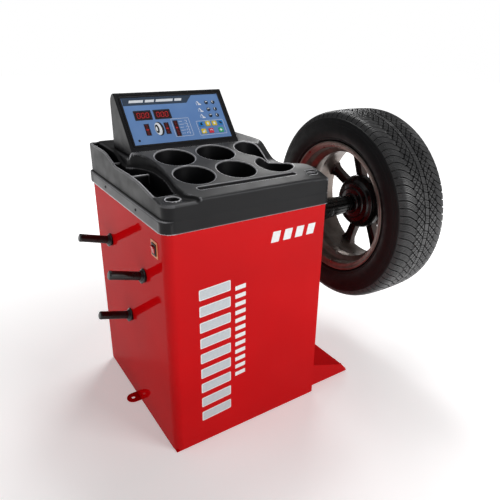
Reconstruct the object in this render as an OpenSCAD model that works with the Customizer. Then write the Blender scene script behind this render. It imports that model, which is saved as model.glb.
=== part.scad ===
// Free-standing wheel balancer: sheet-steel cabinet, moulded weight tray, sloping display console,
// belt-driven spindle inside the cabinet, and a tyred wheel clamped on the spindle's threaded end.
// Millimetres. X runs along the spindle towards the wheel, Y towards the back, Z up.
// The origin is the middle of the cabinet's base, on the floor.

/* [Cabinet] */
// Width of the cabinet, along the spindle
body_w = 535; // [525:1:545]
// Depth of the cabinet, front to back
body_d = 590; // [580:1:610]
// Height of the cabinet's sheet-steel shell
body_h = 750; // [748:1:752]
// Radius of the shell's front left corner
corner_r = 27; // [15:1:32]
// Thickness of the cabinet's sheet steel
sheet = 2; // [1.5:0.1:2]

/* [Weight tray] */
// Height of the tray skirt's lower edge
skirt_z = 723; // [718:1:730]
// Height of the tray's front edge
deck_z = 812; // [808:1:816]
// Slope of the tray's deck, degrees
deck_slope = 10.9; // [10:0.1:12]
// Radius of the weight cups
cup_r = 58; // [50:0.5:58]
// Height of the floor inside the cups and bins
cup_floor_z = 770; // [765:1:775]
// Wall of the moulding
tray_wall = 4; // [3:0.5:4]

/* [Spindle] */
// Height of the spindle's axis
axis_z = 627; // [622:1:630]
// Distance of the spindle's axis behind the cabinet's front
axis_y = 177; // [172:1:182]
// Radius of the spindle where its bearings sit
spindle_r = 17.5; // [17:0.5:17.5]
// Radius of the threaded shaft that carries the cones
thread_r = 18; // [18:0.5:20]
// Running clearance of shafts in their bores
run_gap = 0.05; // [0.02:0.01:0.08]
// Radius of the wheel flange
flange_r = 100; // [95:1:105]

/* [Wheel] */
// Outer radius of the tyre
tyre_r = 341; // [330:1:345]
// Width of the tyre
tyre_w = 220; // [215:1:225]
// Radius of the rim's lips, a 17 inch wheel
lip_r = 235.6; // [235.6]
// Number of spokes
spokes = 8; // [5:1:10]

/* [Console] */
// Slope of the display panel, degrees from level
panel_slope = 51; // [49:1:53]
// Width of the display panel
panel_w = 333; // [333:1:335]
// Height of the display panel along its slope
panel_l = 163; // [163:1:164]

/* [Hidden] */
$fn = 96;

// Cabinet
corner = [-body_w / 2, -body_d / 2, 0];   // front left bottom corner of the cabinet
shell_z = 4.5;                            // lower edge of the shell, just above the base pan
wrap = 25;                                // width of the rear cover's side flanges
shell_end_y = body_d - wrap;
foot_reach = 192;                         // how far the outrigger stands out to the right
foot_front_y = 25;
foot_back_y = 565;
foot_plate_x = body_w + 0.5;
bolt_z = 30;
bolt_ys = [90, 500];
base_flange_h = 46;

// Hanger pegs on the left side: [y, z] of each root
peg_tilt = 16;
peg_roots = [[455, 553], [316, 335], [166, 541]];
peg_grip_l = 102;
peg_rod_r = 7;
peg_grip_r = 13;

// Tray
tray_side = 6;                            // how far the skirt stands out from the cabinet
tray_back_y = body_d + 16;
ledge_z = 760;                            // step in the tray's left side
ledge_in = 8;
shelf_z = 856;                            // level shelf that the console stands on
shelf_y = 318;
ridge_z = deck_z + (shelf_y - 10) * tan(deck_slope);
left_zone_x = 74;                         // the bins lie to the left of this
right_zone_x = 446;                       // the dip over the spindle lies to the right of this
tray_x0 = -tray_side;
tray_x1 = body_w + tray_side;
cup_xs = [153, 290.5, 427.5];
cup_ys = [128, 253];
dish_at = [44, 38];                       // small dish in the front left corner
dish_r = 22;
left_top = [[-tray_side, 803], [34, 804], [82, 812], [137, 821], [161, 825], [230, 829], [325, 828],
    [361, 828], [391, 839], [420, 850], [446, shelf_z], [500, shelf_z], [tray_back_y, 854]];
dip_top = [[-tray_side, 808], [17, 812], [58, 823], [96, 826], [134, 821], [189, 809], [233, 802],
    [268, 802], [293, 807], [326, 826], [345, 843], [359, 851], [380, shelf_z],
    [tray_back_y, shelf_z]];
tray_screw_ys = [180, 440];
tray_screw_z = 742;

// Console
console_x0 = 47;
console_x1 = 418;
console_back_y = 484;
face_foot = [324, 871];                   // lower edge of the sloping face, [y, z]
face_l = 197;                             // length of the sloping face
panel_at = [65, 335, 885];                // lower left corner of the panel
panel_back = 6;                           // depth of the panel behind its face
key_travel = 0.8;
round_key_r = 6.5;
square_key = 17;
round_us = [283, 308];
round_vs = [83, 106, 132];
upper_key_us = [238, 262, 286, 309];
upper_key_v = 54;
lower_key_us = [239, 266, 302];
lower_key_v = 28;
display_us = [28, 92];
display_v = 86;
display_size = [50, 27];
light_cols = [[47, 31, 13, 37], [112, 31, 13, 37], [144, 20, 13, 53]];   // u, v, width, length

// Spindle and drive
nose_x0 = body_w + 3;
nose_x1 = 806;
flange_x = 876;                           // face that the wheel is clamped against
housing_x0 = 150;
bearing_front_x = 792;
bearing_front_w = 10;
bearing_front_r = 27.5;
bearing_rear_w = 17;
bearing_rear_r = 36;
pulley_x = 112;
pulley_w = 22;
driven_r = 66;
motor_r = 22;
belt_t = 4;
belt_w = 14;
belt_gap = 0.3;
motor_z = 400;
encoder_x = 99.5;
encoder_r = 80;
pedestal_y = 250;
thread_x1 = 1085;
pilot_x = 1036;                           // the thread stops here and a plain end goes on
pilot_r = thread_r - 1;
cone_x = 905;
cone_l = 34;
cup_x = 940;                              // pressure cup against the cone
nut_x = 958;
board_z = 150;
switch_y = 71;
switch_z = 662;

// Wheel
lip_x = 729;
rim_w = 200;
seat_r = 218.3;
tyre_mid_x = lip_x + rim_w / 2;
hub_r = 74;
hub_bore_r = 32.5;
hub_t = 42;
lug_pcd_r = 57.15;
spoke_phase = 22.5;
spoke_w = 34;
spoke_end_r = 210;
valve_x = lip_x + 44;                     // the valve passes through the side of the rim's well

module at_corner() {
    translate(corner) children();
}

// A closed outline in Y and Z pushed along X from x0 to x1
module along_x(x0, x1) {
    translate([x0, 0, 0]) rotate([90, 0, 90]) linear_extrude(x1 - x0) children();
}

// A rectangle whose front left corner is round
module footprint(x0, y0, x1, y1, r) {
    translate([x0 + r, y0]) square([x1 - x0 - r, y1 - y0]);
    translate([x0, y0 + r]) square([x1 - x0, y1 - y0 - r]);
    translate([x0 + r, y0 + r]) circle(r);
}

// A cylinder whose axis runs along +X from the given point on the spindle's axis
module spindle_cyl(x, l, r) {
    translate([x, axis_y, axis_z]) rotate([0, 90, 0]) cylinder(h = l, r = r);
}

// A profile of [x, radius] points turned round the spindle's axis
module spindle_turn() {
    translate([0, axis_y, axis_z]) rotate([0, 90, 0]) rotate([0, 0, 180])
        rotate_extrude() mirror([1, 0]) rotate(90) children();
}

module hex_screw(r, head_r, head_h, l) {
    cylinder(h = head_h, r = head_r, $fn = 6);
    translate([0, 0, -l]) cylinder(h = l, r = r);
}

module dome_screw(r, head_r, head_h, l) {
    rotate_extrude() intersection() {
        translate([0, head_h - head_r * 2]) circle(head_r * 2);
        square([head_r, head_h]);
    }
    translate([0, 0, -l]) cylinder(h = l, r = r);
}

// Cabinet and base --------------------------------------------------------------------------------

module base_pan() color("firebrick") at_corner() {
    tab_y = 316;
    tab_r = 24;
    difference() {
        union() {
            translate([3, 3, 0]) cube([body_w - 6, body_d - 8, 4]);
            translate([-18, tab_y, 0]) cylinder(h = 4, r = tab_r);
            translate([-18, tab_y - tab_r, 0]) cube([30, 2 * tab_r, 4]);
        }
        translate([-20, tab_y, -1]) cylinder(h = 6, r = 6.5);
    }
}

// Four flat bars standing on the pan, just inside the shell
module base_frame() color("firebrick") at_corner() {
    frame_x0 = sheet + 1;
    frame_x1 = body_w - sheet - 1;
    bar_h = base_flange_h - 4;
    translate([frame_x0, 34, 4]) cube([3, body_d - 74, bar_h]);
    difference() {
        translate([frame_x1 - 3, 34, 4]) cube([3, body_d - 74, bar_h]);
        for (y = bolt_ys)
            translate([body_w - 10, y, bolt_z]) rotate([0, 90, 0]) cylinder(h = 20, r = 5.2);
    }
    for (y = [30, body_d - 39.8])
        translate([frame_x0 + 2, y, 4]) cube([frame_x1 - frame_x0 - 4, 3.8, bar_h]);
}

module foot_pads() color("dimgray") at_corner()
    for (y = [50, 290, 530])
        translate([body_w + 150, y, 0]) cylinder(h = 6, r = 14);

module outrigger_foot() color("firebrick") at_corner() {
    x0 = foot_plate_x;
    tip = body_w + foot_reach;
    difference() {
        union() {
            difference() {
                along_y(foot_front_y, foot_back_y)
                    polygon([[x0, 4], [x0, 100], [body_w + 165, 42], [tip - 3, 14], [tip, 4]]);
                along_y(foot_front_y + 3, foot_back_y - 3)
                    polygon([[x0 + 3, 3], [x0 + 3, 95.7], [body_w + 163, 39.2], [tip - 7, 12],
                        [tip - 4, 3]]);
            }
            for (y = [50, 290, 530])
                translate([body_w + 130, y - 18, 6]) cube([40, 36, 4]);
            for (y = [50, 290, 530], side = [-18, 14])
                translate([body_w + 130, y + side, 6]) cube([40, 4, 34]);
        }
        for (y = bolt_ys)
            translate([body_w - 10, y, bolt_z]) rotate([0, 90, 0]) cylinder(h = 20, r = 5.2);
    }
}

// A closed outline in X and Z pushed along Y from y0 to y1
module along_y(y0, y1) {
    translate([0, y1, 0]) rotate([90, 0, 0]) linear_extrude(y1 - y0) children();
}

module outrigger_bolts() color("silver") at_corner()
    for (y = bolt_ys)
        translate([foot_plate_x + 3, y, bolt_z]) rotate([0, 90, 0]) hex_screw(5, 8.5, 6, 16);

module cabinet_shell() color("red") at_corner()
    difference() {
        union() {
            difference() {
                translate([0, 0, shell_z]) linear_extrude(body_h - shell_z)
                    footprint(0, 0, body_w, shell_end_y, corner_r);
                translate([0, 0, shell_z - 1]) linear_extrude(body_h)
                    footprint(sheet, sheet, body_w - sheet, body_d, corner_r - sheet);
            }
            for (x = [sheet, body_w - 2 * sheet])
                translate([x, shell_end_y - 12, shell_z])
                    cube([sheet, wrap - sheet + 12 - 0.2, body_h - shell_z]);
            for (x = [sheet, body_w - sheet - 20])
                translate([x, body_d - 2 * sheet - 0.2, shell_z]) cube([20, sheet, body_h - shell_z]);
        }
        spindle_cyl(body_w - 12, 20, 56);
        for (root = peg_roots)
            translate([-5, root[0], root[1]]) rotate([0, 90, 0]) cylinder(h = 12, r = 4.3);
        translate([-5, switch_y - 11.2, switch_z - 14.2]) cube([12, 22.4, 28.4]);
        for (y = bolt_ys)
            translate([body_w - 10, y, bolt_z]) rotate([0, 90, 0]) cylinder(h = 20, r = 5.2);
        for (y = tray_screw_ys, x = [-5, body_w - 7])
            translate([x, y, tray_screw_z]) rotate([0, 90, 0]) cylinder(h = 12, r = 2.1);
        for (x = [12, body_w - 12], z = [60, 370, 690])
            translate([x, body_d - 10, z]) rotate([-90, 0, 0]) cylinder(h = 12, r = 2.1);
    }

module rear_cover() color("firebrick") at_corner()
    difference() {
        union() {
            translate([0, body_d - sheet, shell_z]) cube([body_w, sheet, body_h - shell_z]);
            for (x = [0, body_w - sheet])
                translate([x, shell_end_y + 0.5, shell_z]) cube([sheet, wrap - 0.5, body_h - shell_z]);
        }
        for (row = [0:6], x = [150, 290])
            translate([x, body_d - 5, 200 + row * 16]) cube([95, 10, 5]);
        translate([80, body_d - 5, 120]) cube([28, 10, 21]);
        for (x = [12, body_w - 12], z = [60, 370, 690])
            translate([x, body_d - 10, z]) rotate([-90, 0, 0]) cylinder(h = 12, r = 2.1);
    }

module rear_cover_screws() color("silver") at_corner()
    for (x = [12, body_w - 12], z = [60, 370, 690])
        translate([x, body_d, z]) rotate([-90, 0, 0]) dome_screw(2, 4.5, 2.4, 9);

// Weight tray -------------------------------------------------------------------------------------

function band_above(points, high) =
    concat([[points[0][0] - 5, high], [points[0][0] - 5, points[0][1]]], points,
        [[points[len(points) - 1][0] + 5, points[len(points) - 1][1]],
         [points[len(points) - 1][0] + 5, high]]);

module tray_outside() {
    difference() {
        union() {
            translate([0, 0, skirt_z]) linear_extrude(ledge_z - skirt_z)
                footprint(tray_x0, -tray_side, tray_x1, tray_back_y, corner_r + tray_side);
            translate([0, 0, ledge_z]) linear_extrude(ridge_z + 1 - ledge_z)
                footprint(tray_x0 + ledge_in, -tray_side, tray_x1, tray_back_y,
                    corner_r + tray_side - ledge_in);
        }
        along_x(left_zone_x, tray_x1 + 1) polygon([[-20, deck_z - 30 * tan(deck_slope)],
            [10, deck_z], [shelf_y, ridge_z], [shelf_y, shelf_z], [tray_back_y + 5, shelf_z],
            [tray_back_y + 5, 950], [-20, 950]]);
        along_x(tray_x0 - 5, left_zone_x + 0.01) polygon(band_above(left_top, 950));
        along_x(right_zone_x, tray_x1 + 5) polygon(band_above(dip_top, 950));
    }
}

module tray_underside() {
    inner_top = cup_floor_z + 26;
    translate([0, 0, skirt_z - 1]) linear_extrude(inner_top - skirt_z + 1)
        footprint(tray_x0 + tray_wall + ledge_in, -tray_side + tray_wall, tray_x1 - tray_wall,
            tray_back_y - tray_wall, corner_r);
    translate([0, 0, skirt_z - 1]) linear_extrude(ledge_z - tray_wall - skirt_z + 1)
        footprint(tray_x0 + tray_wall, -tray_side + tray_wall, tray_x1 - tray_wall,
            tray_back_y - tray_wall, corner_r);
    along_x(left_zone_x + 12, right_zone_x - 10) polygon([[-2, inner_top - 5], [-2, deck_z - 7],
        [10, deck_z - tray_wall], [shelf_y - 4, ridge_z - tray_wall - 1],
        [shelf_y - 4, shelf_z - tray_wall], [tray_back_y - tray_wall, shelf_z - tray_wall],
        [tray_back_y - tray_wall, inner_top - 5]]);
}

// The three bins, each grown outwards by g
module bin_plan(g) {
    bin_x0 = tray_x0 + ledge_in + tray_wall + 2;
    translate([bin_x0 - g, 64 - g]) square([64 + 2 * g, 174 + 2 * g]);
    translate([bin_x0 - g, 244 - g]) square([64 + 2 * g, 46 + 2 * g]);
    translate([bin_x0 - g, 280 - g]) square([36 + 2 * g, 88 + 2 * g]);
    translate([bin_x0 - g, 375 - g]) square([32 + 2 * g, 216 + 2 * g]);
}

module tray_hollows(g) {
    for (x = cup_xs, y = cup_ys)
        translate([x, y, cup_floor_z - g]) cylinder(h = 150, r = cup_r + g);
    translate([0, 0, cup_floor_z - g]) linear_extrude(150) bin_plan(g);
    translate([dish_at[0], dish_at[1], 783 - g]) cylinder(h = 60, r = dish_r + g);
}

module weight_tray() color([0.12, 0.12, 0.13]) at_corner()
    difference() {
        union() {
            difference() {
                tray_outside();
                tray_underside();
            }
            intersection() {
                tray_outside();
                tray_hollows(3);
            }
            for (y = [-2, body_d / 2, body_d - 3], x = [tray_x0 + tray_wall, tray_x1 - tray_wall - 22])
                translate([x, y, body_h]) cube([22, 4, cup_floor_z + 30 - body_h]);
        }
        tray_hollows(0);
        translate([0, 47, deck_z + 37 * tan(deck_slope)]) rotate([deck_slope, 0, 0]) {
            translate([130, -6, -3.5]) cube([310, 12, 10]);
            for (x = [130, 440])
                translate([x, 0, -3.5]) cylinder(h = 10, r = 6);
            for (dy = [-20, 2])
                translate([484 + dy / 2, dy - 4, -3.5]) cube([34, 5, 10]);
        }
        for (z = [765, 779, 793])
            translate([tray_x1 - 3, -3, z - 2]) cube([6, 14, 5]);
        for (y = tray_screw_ys, x = [tray_x0 - 1, tray_x1 - 6])
            translate([x, y, tray_screw_z]) rotate([0, 90, 0]) cylinder(h = 7, r = 2.2);
    }

module tray_screws() color("dimgray") at_corner()
    for (y = tray_screw_ys) {
        translate([tray_x0, y, tray_screw_z]) rotate([0, -90, 0]) dome_screw(2, 4.2, 2, 11);
        translate([tray_x1, y, tray_screw_z]) rotate([0, 90, 0]) dome_screw(2, 4.2, 2, 11);
    }

// Console -----------------------------------------------------------------------------------------

// Places children on the display panel: u to the right, v up the slope, h out of its face
module on_panel(u, v, h) {
    translate(panel_at) rotate([panel_slope, 0, 0]) translate([u, v, h]) children();
}

function on_face(s) = [face_foot[0] + s * cos(panel_slope), face_foot[1] + s * sin(panel_slope)];
face_top = on_face(face_l);
back_r = 34;
back_arc = [for (a = [90:-15:0])
    [console_back_y - back_r + back_r * cos(a), face_top[1] - back_r + back_r * sin(a) + 1]];
console_side = concat([[shelf_y + 3, shelf_z], face_foot, face_top], back_arc,
    [[console_back_y, shelf_z]]);
inner_arc = [for (a = [90:-15:0])
    [console_back_y - back_r + (back_r - 3) * cos(a), face_top[1] - back_r + (back_r - 3) * sin(a) + 1]];
console_inside = concat([[shelf_y + 8, shelf_z + 3], face_foot + [5, 0], face_top + [1.5, -3.6]],
    inner_arc, [[console_back_y - 3, shelf_z + 3]]);

module console_housing() color([0.2, 0.2, 0.21]) at_corner()
    difference() {
        along_x(console_x0, console_x1) polygon(console_side);
        along_x(console_x0 + 3, console_x1 - 3) polygon(console_inside);
        on_panel(-0.3, -0.3, -8) cube([panel_w + 0.6, panel_l + 0.6, 20]);
        for (x = [console_x0 + 20, console_x1 - 20])
            translate([x, console_back_y - 5, shelf_z + 20]) rotate([-90, 0, 0])
                cylinder(h = 10, r = 2.1);
    }

module control_panel() color("steelblue") at_corner()
    difference() {
        union() {
            on_panel(0, 0, -panel_back) cube([panel_w, panel_l, panel_back]);
            on_panel(-6, -2, -panel_back - 0.2) cube([panel_w + 12, panel_l + 4, 2]);
        }
        for (u = display_us)
            on_panel(u - 0.2, display_v - 0.2, -10)
                cube([display_size[0] + 0.4, display_size[1] + 0.4, 20]);
        for (c = light_cols)
            on_panel(c[0] - 0.2, c[1] - 0.2, -10) cube([c[2] + 0.4, c[3] + 0.4, 20]);
        for (u = round_us, v = round_vs)
            on_panel(u, v, -10) cylinder(h = 20, r = round_key_r + 0.4);
        for (u = upper_key_us)
            on_panel(u - square_key / 2 - 0.4, upper_key_v - square_key / 2 - 0.4, -10)
                cube([square_key + 0.8, square_key + 0.8, 20]);
        for (u = lower_key_us)
            on_panel(u - square_key / 2 - 0.4, lower_key_v - square_key / 2 - 0.4, -10)
                cube([square_key + 0.8, square_key + 0.8, 20]);
    }

module weight_displays() color("darkred") at_corner()
    for (u = display_us)
        on_panel(u, display_v, -6) cube([display_size[0], display_size[1], 5.6]);

module position_lights() color("darkred") at_corner()
    for (c = light_cols)
        on_panel(c[0], c[1], -6) cube([c[2], c[3], 5.6]);

module display_board() color("darkgreen") at_corner() {
    on_panel(10, 8, -12) cube([panel_w - 20, panel_l - 20, 1.6]);
    for (u = [16, panel_w - 20], v = [14, panel_l - 22])
        on_panel(u, v, -10.4) cylinder(h = 4.4 - 0.2, r = 3);
}

module console_screws() color("silver") at_corner()
    for (x = [console_x0 + 20, console_x1 - 20])
        translate([x, console_back_y, shelf_z + 20]) rotate([-90, 0, 0]) dome_screw(2, 4.2, 2.2, 8);

module round_key(u, v) color([0.15, 0.2, 0.28]) at_corner()
    on_panel(u, v, -4.5) cylinder(h = 5.5, r = round_key_r);

module square_key_cap(u, v, paint) color(paint) at_corner()
    on_panel(u - square_key / 2, v - square_key / 2, -4.5) cube([square_key, square_key, 5.5]);

module distance_down_key() round_key(round_us[0], round_vs[2]);
module distance_up_key() round_key(round_us[1], round_vs[2]);
module width_down_key() round_key(round_us[0], round_vs[1]);
module width_up_key() round_key(round_us[1], round_vs[1]);
module diameter_down_key() round_key(round_us[0], round_vs[0]);
module diameter_up_key() round_key(round_us[1], round_vs[0]);
module mode_key() square_key_cap(upper_key_us[0], upper_key_v, "royalblue");
module fine_key() square_key_cap(upper_key_us[1], upper_key_v, "gold");
module split_key() square_key_cap(upper_key_us[2], upper_key_v, "gold");
module units_key() square_key_cap(upper_key_us[3], upper_key_v, "royalblue");
module calibrate_key() square_key_cap(lower_key_us[0], lower_key_v, "gold");
module stop_key() square_key_cap(lower_key_us[1], lower_key_v, "crimson");
module start_key() square_key_cap(lower_key_us[2], lower_key_v, "limegreen");

// Left side: switch and pegs ----------------------------------------------------------------------

module power_switch_body() color([0.1, 0.1, 0.1]) at_corner() {
    difference() {
        union() {
            translate([-1.5, switch_y - 22, switch_z - 24]) cube([1.5, 44, 48]);
            translate([-4, switch_y - 14, switch_z - 17]) cube([4, 28, 34]);
            translate([-4, switch_y - 11, switch_z - 14]) cube([26, 22, 28]);
        }
        translate([-12, switch_y - 9, switch_z - 12]) cube([22, 18, 24]);
    }
    translate([-1, switch_y + 10, switch_z]) rotate([90, 0, 0]) cylinder(h = 20, r = 1.45);
}

module power_switch_rocker() color("red") at_corner()
    translate([-4, switch_y, switch_z]) difference() {
        translate([0, 8.6, 0]) rotate([90, 0, 0]) linear_extrude(17.2)
            polygon([[6, -4], [6, 4], [1, 10.4], [-6, 10.4], [-2.2, 0], [-2.4, -10.4], [1, -10.4]]);
        translate([3, 10, 0]) rotate([90, 0, 0]) cylinder(h = 20, r = 1.5);
    }

module on_peg(root) {
    translate([0, root[0], root[1]]) rotate([0, -90 + peg_tilt, 0]) children();
}

module peg_rods() color("silver") at_corner()
    for (root = peg_roots) {
        difference() {
            on_peg(root) translate([0, 0, -4]) cylinder(h = peg_grip_l + 1, r = peg_rod_r);
            translate([-0.05, root[0] - 20, root[1] - 20]) cube([20, 40, 40]);
        }
        translate([-3, root[0], root[1]]) rotate([0, 90, 0]) cylinder(h = 22, r = 4);
        translate([sheet, root[0], root[1]]) rotate([0, 90, 0]) cylinder(h = 6, r = 8, $fn = 6);
    }

module peg_grip(root) color([0.08, 0.08, 0.08]) at_corner()
    difference() {
        on_peg(root) {
            translate([0, 0, -6]) cylinder(h = 12, r = 20);
            translate([0, 0, 5]) cylinder(h = 7, r = 15.5);
            cylinder(h = peg_grip_l + 5, r = peg_grip_r);
        }
        on_peg(root) translate([0, 0, -20]) cylinder(h = peg_grip_l + 17.2, r = peg_rod_r + 0.05);
        translate([-0.05, root[0] - 40, root[1] - 40]) cube([40, 80, 80]);
    }

module upper_peg_grip() peg_grip(peg_roots[0]);
module middle_peg_grip() peg_grip(peg_roots[2]);
module lower_peg_grip() peg_grip(peg_roots[1]);

// Spindle support and drive -----------------------------------------------------------------------

module spindle_pedestal() color("dimgray") at_corner()
    difference() {
        union() {
            translate([170, pedestal_y, 10]) cube([300, 8, 690]);
            translate([170, pedestal_y, 10]) cube([8, 90, 690]);
            translate([462, pedestal_y, 10]) cube([8, 90, 690]);
            translate([140, pedestal_y - 40, 4]) cube([360, 180, 8]);
        }
        for (x = [220, 420])
            translate([x, pedestal_y - 1, axis_z]) rotate([-90, 0, 0]) cylinder(h = 20, r = 6.2);
        for (x = [156, 484], y = [pedestal_y - 25, pedestal_y + 120])
            translate([x, y, 3]) cylinder(h = 12, r = 6.5);
    }

module spindle_housing() color([0.1, 0.1, 0.1]) at_corner()
    difference() {
        union() {
            spindle_cyl(housing_x0, 370, 46);
            spindle_turn() polygon([[519, 0], [519, 46], [nose_x0, 52], [nose_x1 - 4, 30.5],
                [nose_x1, 28.5], [nose_x1, 0]]);
            for (x = [200, 400])
                translate([x, axis_y, axis_z - 25]) cube([40, 52, 50]);
            translate([158, axis_y - 15, axis_z + 40]) cube([22, 30, 53]);
            translate([90, axis_y - 15, axis_z + 89]) cube([90, 30, 4]);
        }
        spindle_cyl(housing_x0 - 1, bearing_rear_w + 3, bearing_rear_r);
        spindle_cyl(housing_x0 + bearing_rear_w, bearing_front_x - housing_x0 - bearing_rear_w + 1, 24);
        spindle_cyl(bearing_front_x, 40, bearing_front_r);
        for (x = [220, 420])
            translate([x, axis_y + 38, axis_z]) rotate([-90, 0, 0]) cylinder(h = 20, r = 5.1);
        for (y = [-8, 8])
            translate([101, axis_y + y, axis_z + 80]) cylinder(h = 20, r = 1.6);
    }

module bearing(x, w, r) color("silver") at_corner()
    difference() {
        spindle_cyl(x, w, r);
        spindle_cyl(x - 1, w + 2, spindle_r + run_gap);
        difference() {
            spindle_cyl(x - 1, 2.2, r - (r - spindle_r) * 0.3);
            spindle_cyl(x - 2, 4, spindle_r + (r - spindle_r) * 0.3);
        }
    }

module front_bearing() bearing(bearing_front_x, bearing_front_w, bearing_front_r);
module rear_bearing() bearing(housing_x0 + 2, bearing_rear_w, bearing_rear_r);

module force_sensors() color("silver") at_corner()
    for (x = [220, 420])
        difference() {
            translate([x, axis_y + 52, axis_z]) rotate([-90, 0, 0])
                cylinder(h = pedestal_y - axis_y - 52, r = 19);
            translate([x, axis_y + 50, axis_z]) rotate([-90, 0, 0]) cylinder(h = 40, r = 6.2);
        }

module sensor_studs() color("gray") at_corner()
    for (x = [220, 420])
        translate([x, pedestal_y + 8, axis_z]) rotate([-90, 0, 0])
            hex_screw(5, 10, 9, pedestal_y + 8 - axis_y - 40);

module encoder_sensor() color([0.1, 0.1, 0.1]) at_corner()
    difference() {
        translate([92, axis_y - 14, axis_z + 71]) cube([18, 28, 18]);
        translate([97, axis_y - 15, axis_z + 65]) cube([8, 30, 20]);
        for (y = [-8, 8])
            translate([101, axis_y + y, axis_z + 84]) cylinder(h = 20, r = 1.4);
    }

module motor_bracket() color("dimgray") at_corner()
    difference() {
        union() {
            translate([150, axis_y - 62, motor_z - 62]) cube([6, 150, 124]);
            translate([150, pedestal_y + 8, motor_z - 62]) cube([20, 7, 124]);
        }
        translate([149, axis_y, motor_z]) rotate([0, 90, 0]) cylinder(h = 10, r = 24.2);
    }

module drive_motor() color("slategray") at_corner()
    difference() {
        union() {
            translate([156, axis_y, motor_z]) rotate([0, 90, 0]) cylinder(h = 170, r = 58);
            translate([150, axis_y, motor_z]) rotate([0, 90, 0]) cylinder(h = 8, r = 24);
            translate([180, axis_y - 35, motor_z + 50]) cube([90, 70, 34]);
        }
        translate([140, axis_y, motor_z]) rotate([0, 90, 0]) cylinder(h = 80, r = 7.5 + run_gap);
    }

// A pulley with a rim on each side of the belt's track
module pulley(z, r, bore) {
    difference() {
        union() {
            translate([pulley_x, axis_y, z]) rotate([0, 90, 0]) cylinder(h = pulley_w, r = r);
            for (x = [pulley_x, pulley_x + pulley_w - 2.5])
                translate([x, axis_y, z]) rotate([0, 90, 0]) cylinder(h = 2.5, r = r + 3);
        }
        translate([pulley_x - 1, axis_y, z]) rotate([0, 90, 0]) cylinder(h = pulley_w + 2, r = bore);
    }
}

module motor_pulley() color("silver") at_corner() {
    pulley(motor_z, motor_r, 7);
    translate([pulley_x - 6, axis_y, motor_z]) rotate([0, 90, 0]) cylinder(h = 110, r = 7.5);
}

// Outline of a belt's run round both pulleys, at a distance g from their tracks
module belt_outline(g) {
    big = driven_r + g;
    small = motor_r + g;
    span = axis_z - motor_z;
    lean = asin((big - small) / span);
    translate([axis_y, axis_z]) circle(big);
    translate([axis_y, motor_z]) circle(small);
    polygon([[axis_y + big * cos(lean), axis_z - big * sin(lean)],
        [axis_y - big * cos(lean), axis_z - big * sin(lean)],
        [axis_y - small * cos(lean), motor_z - small * sin(lean)],
        [axis_y + small * cos(lean), motor_z - small * sin(lean)]]);
}

module drive_belt() color([0.1, 0.1, 0.1]) at_corner()
    along_x(pulley_x + (pulley_w - belt_w) / 2, pulley_x + (pulley_w + belt_w) / 2)
        difference() {
            belt_outline(belt_gap + belt_t);
            belt_outline(belt_gap);
        }

module power_board() color("darkgreen") at_corner() {
    translate([sheet + 12, 330, board_z]) cube([1.6, 180, 150]);
    for (y = [345, 485], z = [board_z + 15, board_z + 125])
        translate([sheet, y, z]) rotate([0, 90, 0]) cylinder(h = 12, r = 3.5);
    translate([sheet + 13.6, 350, board_z + 30]) cube([35, 60, 60]);
    translate([sheet + 13.6, 430, board_z + 20]) cube([20, 40, 90]);
}

module mains_inlet() color([0.1, 0.1, 0.1]) at_corner()
    difference() {
        union() {
            translate([80.5, body_d - 24, 120.5]) cube([27, 24, 20]);
            translate([74, body_d, 116]) cube([40, 2.5, 29]);
        }
        translate([83, body_d - 17, 123]) cube([22, 25, 15]);
    }

// Turning parts -----------------------------------------------------------------------------------

module spindle_shaft() color("silver") at_corner() {
    spindle_cyl(90, 742, spindle_r);
    spindle_cyl(housing_x0 + 26, 590, spindle_r + 4);
}

module driven_pulley() color("silver") at_corner()
    difference() {
        pulley(axis_z, driven_r, spindle_r + 0.02);
        for (a = [0:60:300])
            translate([pulley_x - 1, axis_y, axis_z]) rotate([a, 0, 0]) translate([0, 0, 42])
                rotate([0, 90, 0]) cylinder(h = pulley_w + 2, r = 12);
    }

module encoder_disc() color("gray") at_corner()
    difference() {
        union() {
            spindle_cyl(encoder_x, 2.5, encoder_r);
            spindle_cyl(encoder_x, 11, 26);
        }
        spindle_cyl(encoder_x - 1, 14, spindle_r + 0.02);
        for (a = [0:12:348])
            translate([encoder_x - 1, axis_y, axis_z]) rotate([a, 0, 0])
                translate([0, 0, encoder_r - 8]) rotate([0, 90, 0]) cylinder(h = 5, r = 2.5);
    }

module wheel_flange() color([0.08, 0.08, 0.08]) at_corner()
    difference() {
        spindle_turn() polygon([[812, 0], [812, 33], [820, 38], [823, 56], [829, 74], [838, 88],
            [850, 97], [862, flange_r], [flange_x, flange_r], [flange_x, 0]]);
        spindle_turn() polygon([[flange_x + 1, 40], [flange_x + 1, 84], [858, 84], [846, 76],
            [838, 62], [836, 40]]);
        spindle_cyl(800, 40, spindle_r + 0.05);
        spindle_cyl(839, 50, thread_r + 0.05);
    }

module threaded_shaft() color("silver") at_corner() {
    spindle_cyl(840, pilot_x - 840, thread_r);
    spindle_cyl(pilot_x, thread_x1 - 4 - pilot_x, pilot_r);
    spindle_turn() polygon([[thread_x1 - 4.01, 0], [thread_x1 - 4.01, pilot_r],
        [thread_x1, pilot_r - 4], [thread_x1, 0]]);
}

module centring_cone() color("silver") at_corner()
    difference() {
        spindle_turn() polygon([[cone_x, 0], [cone_x, 25], [cone_x + cone_l - 6, 41],
            [cone_x + cone_l, 41], [cone_x + cone_l, 0]]);
        spindle_cyl(cone_x - 1, cone_l + 2, thread_r + 0.1);
    }

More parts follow.
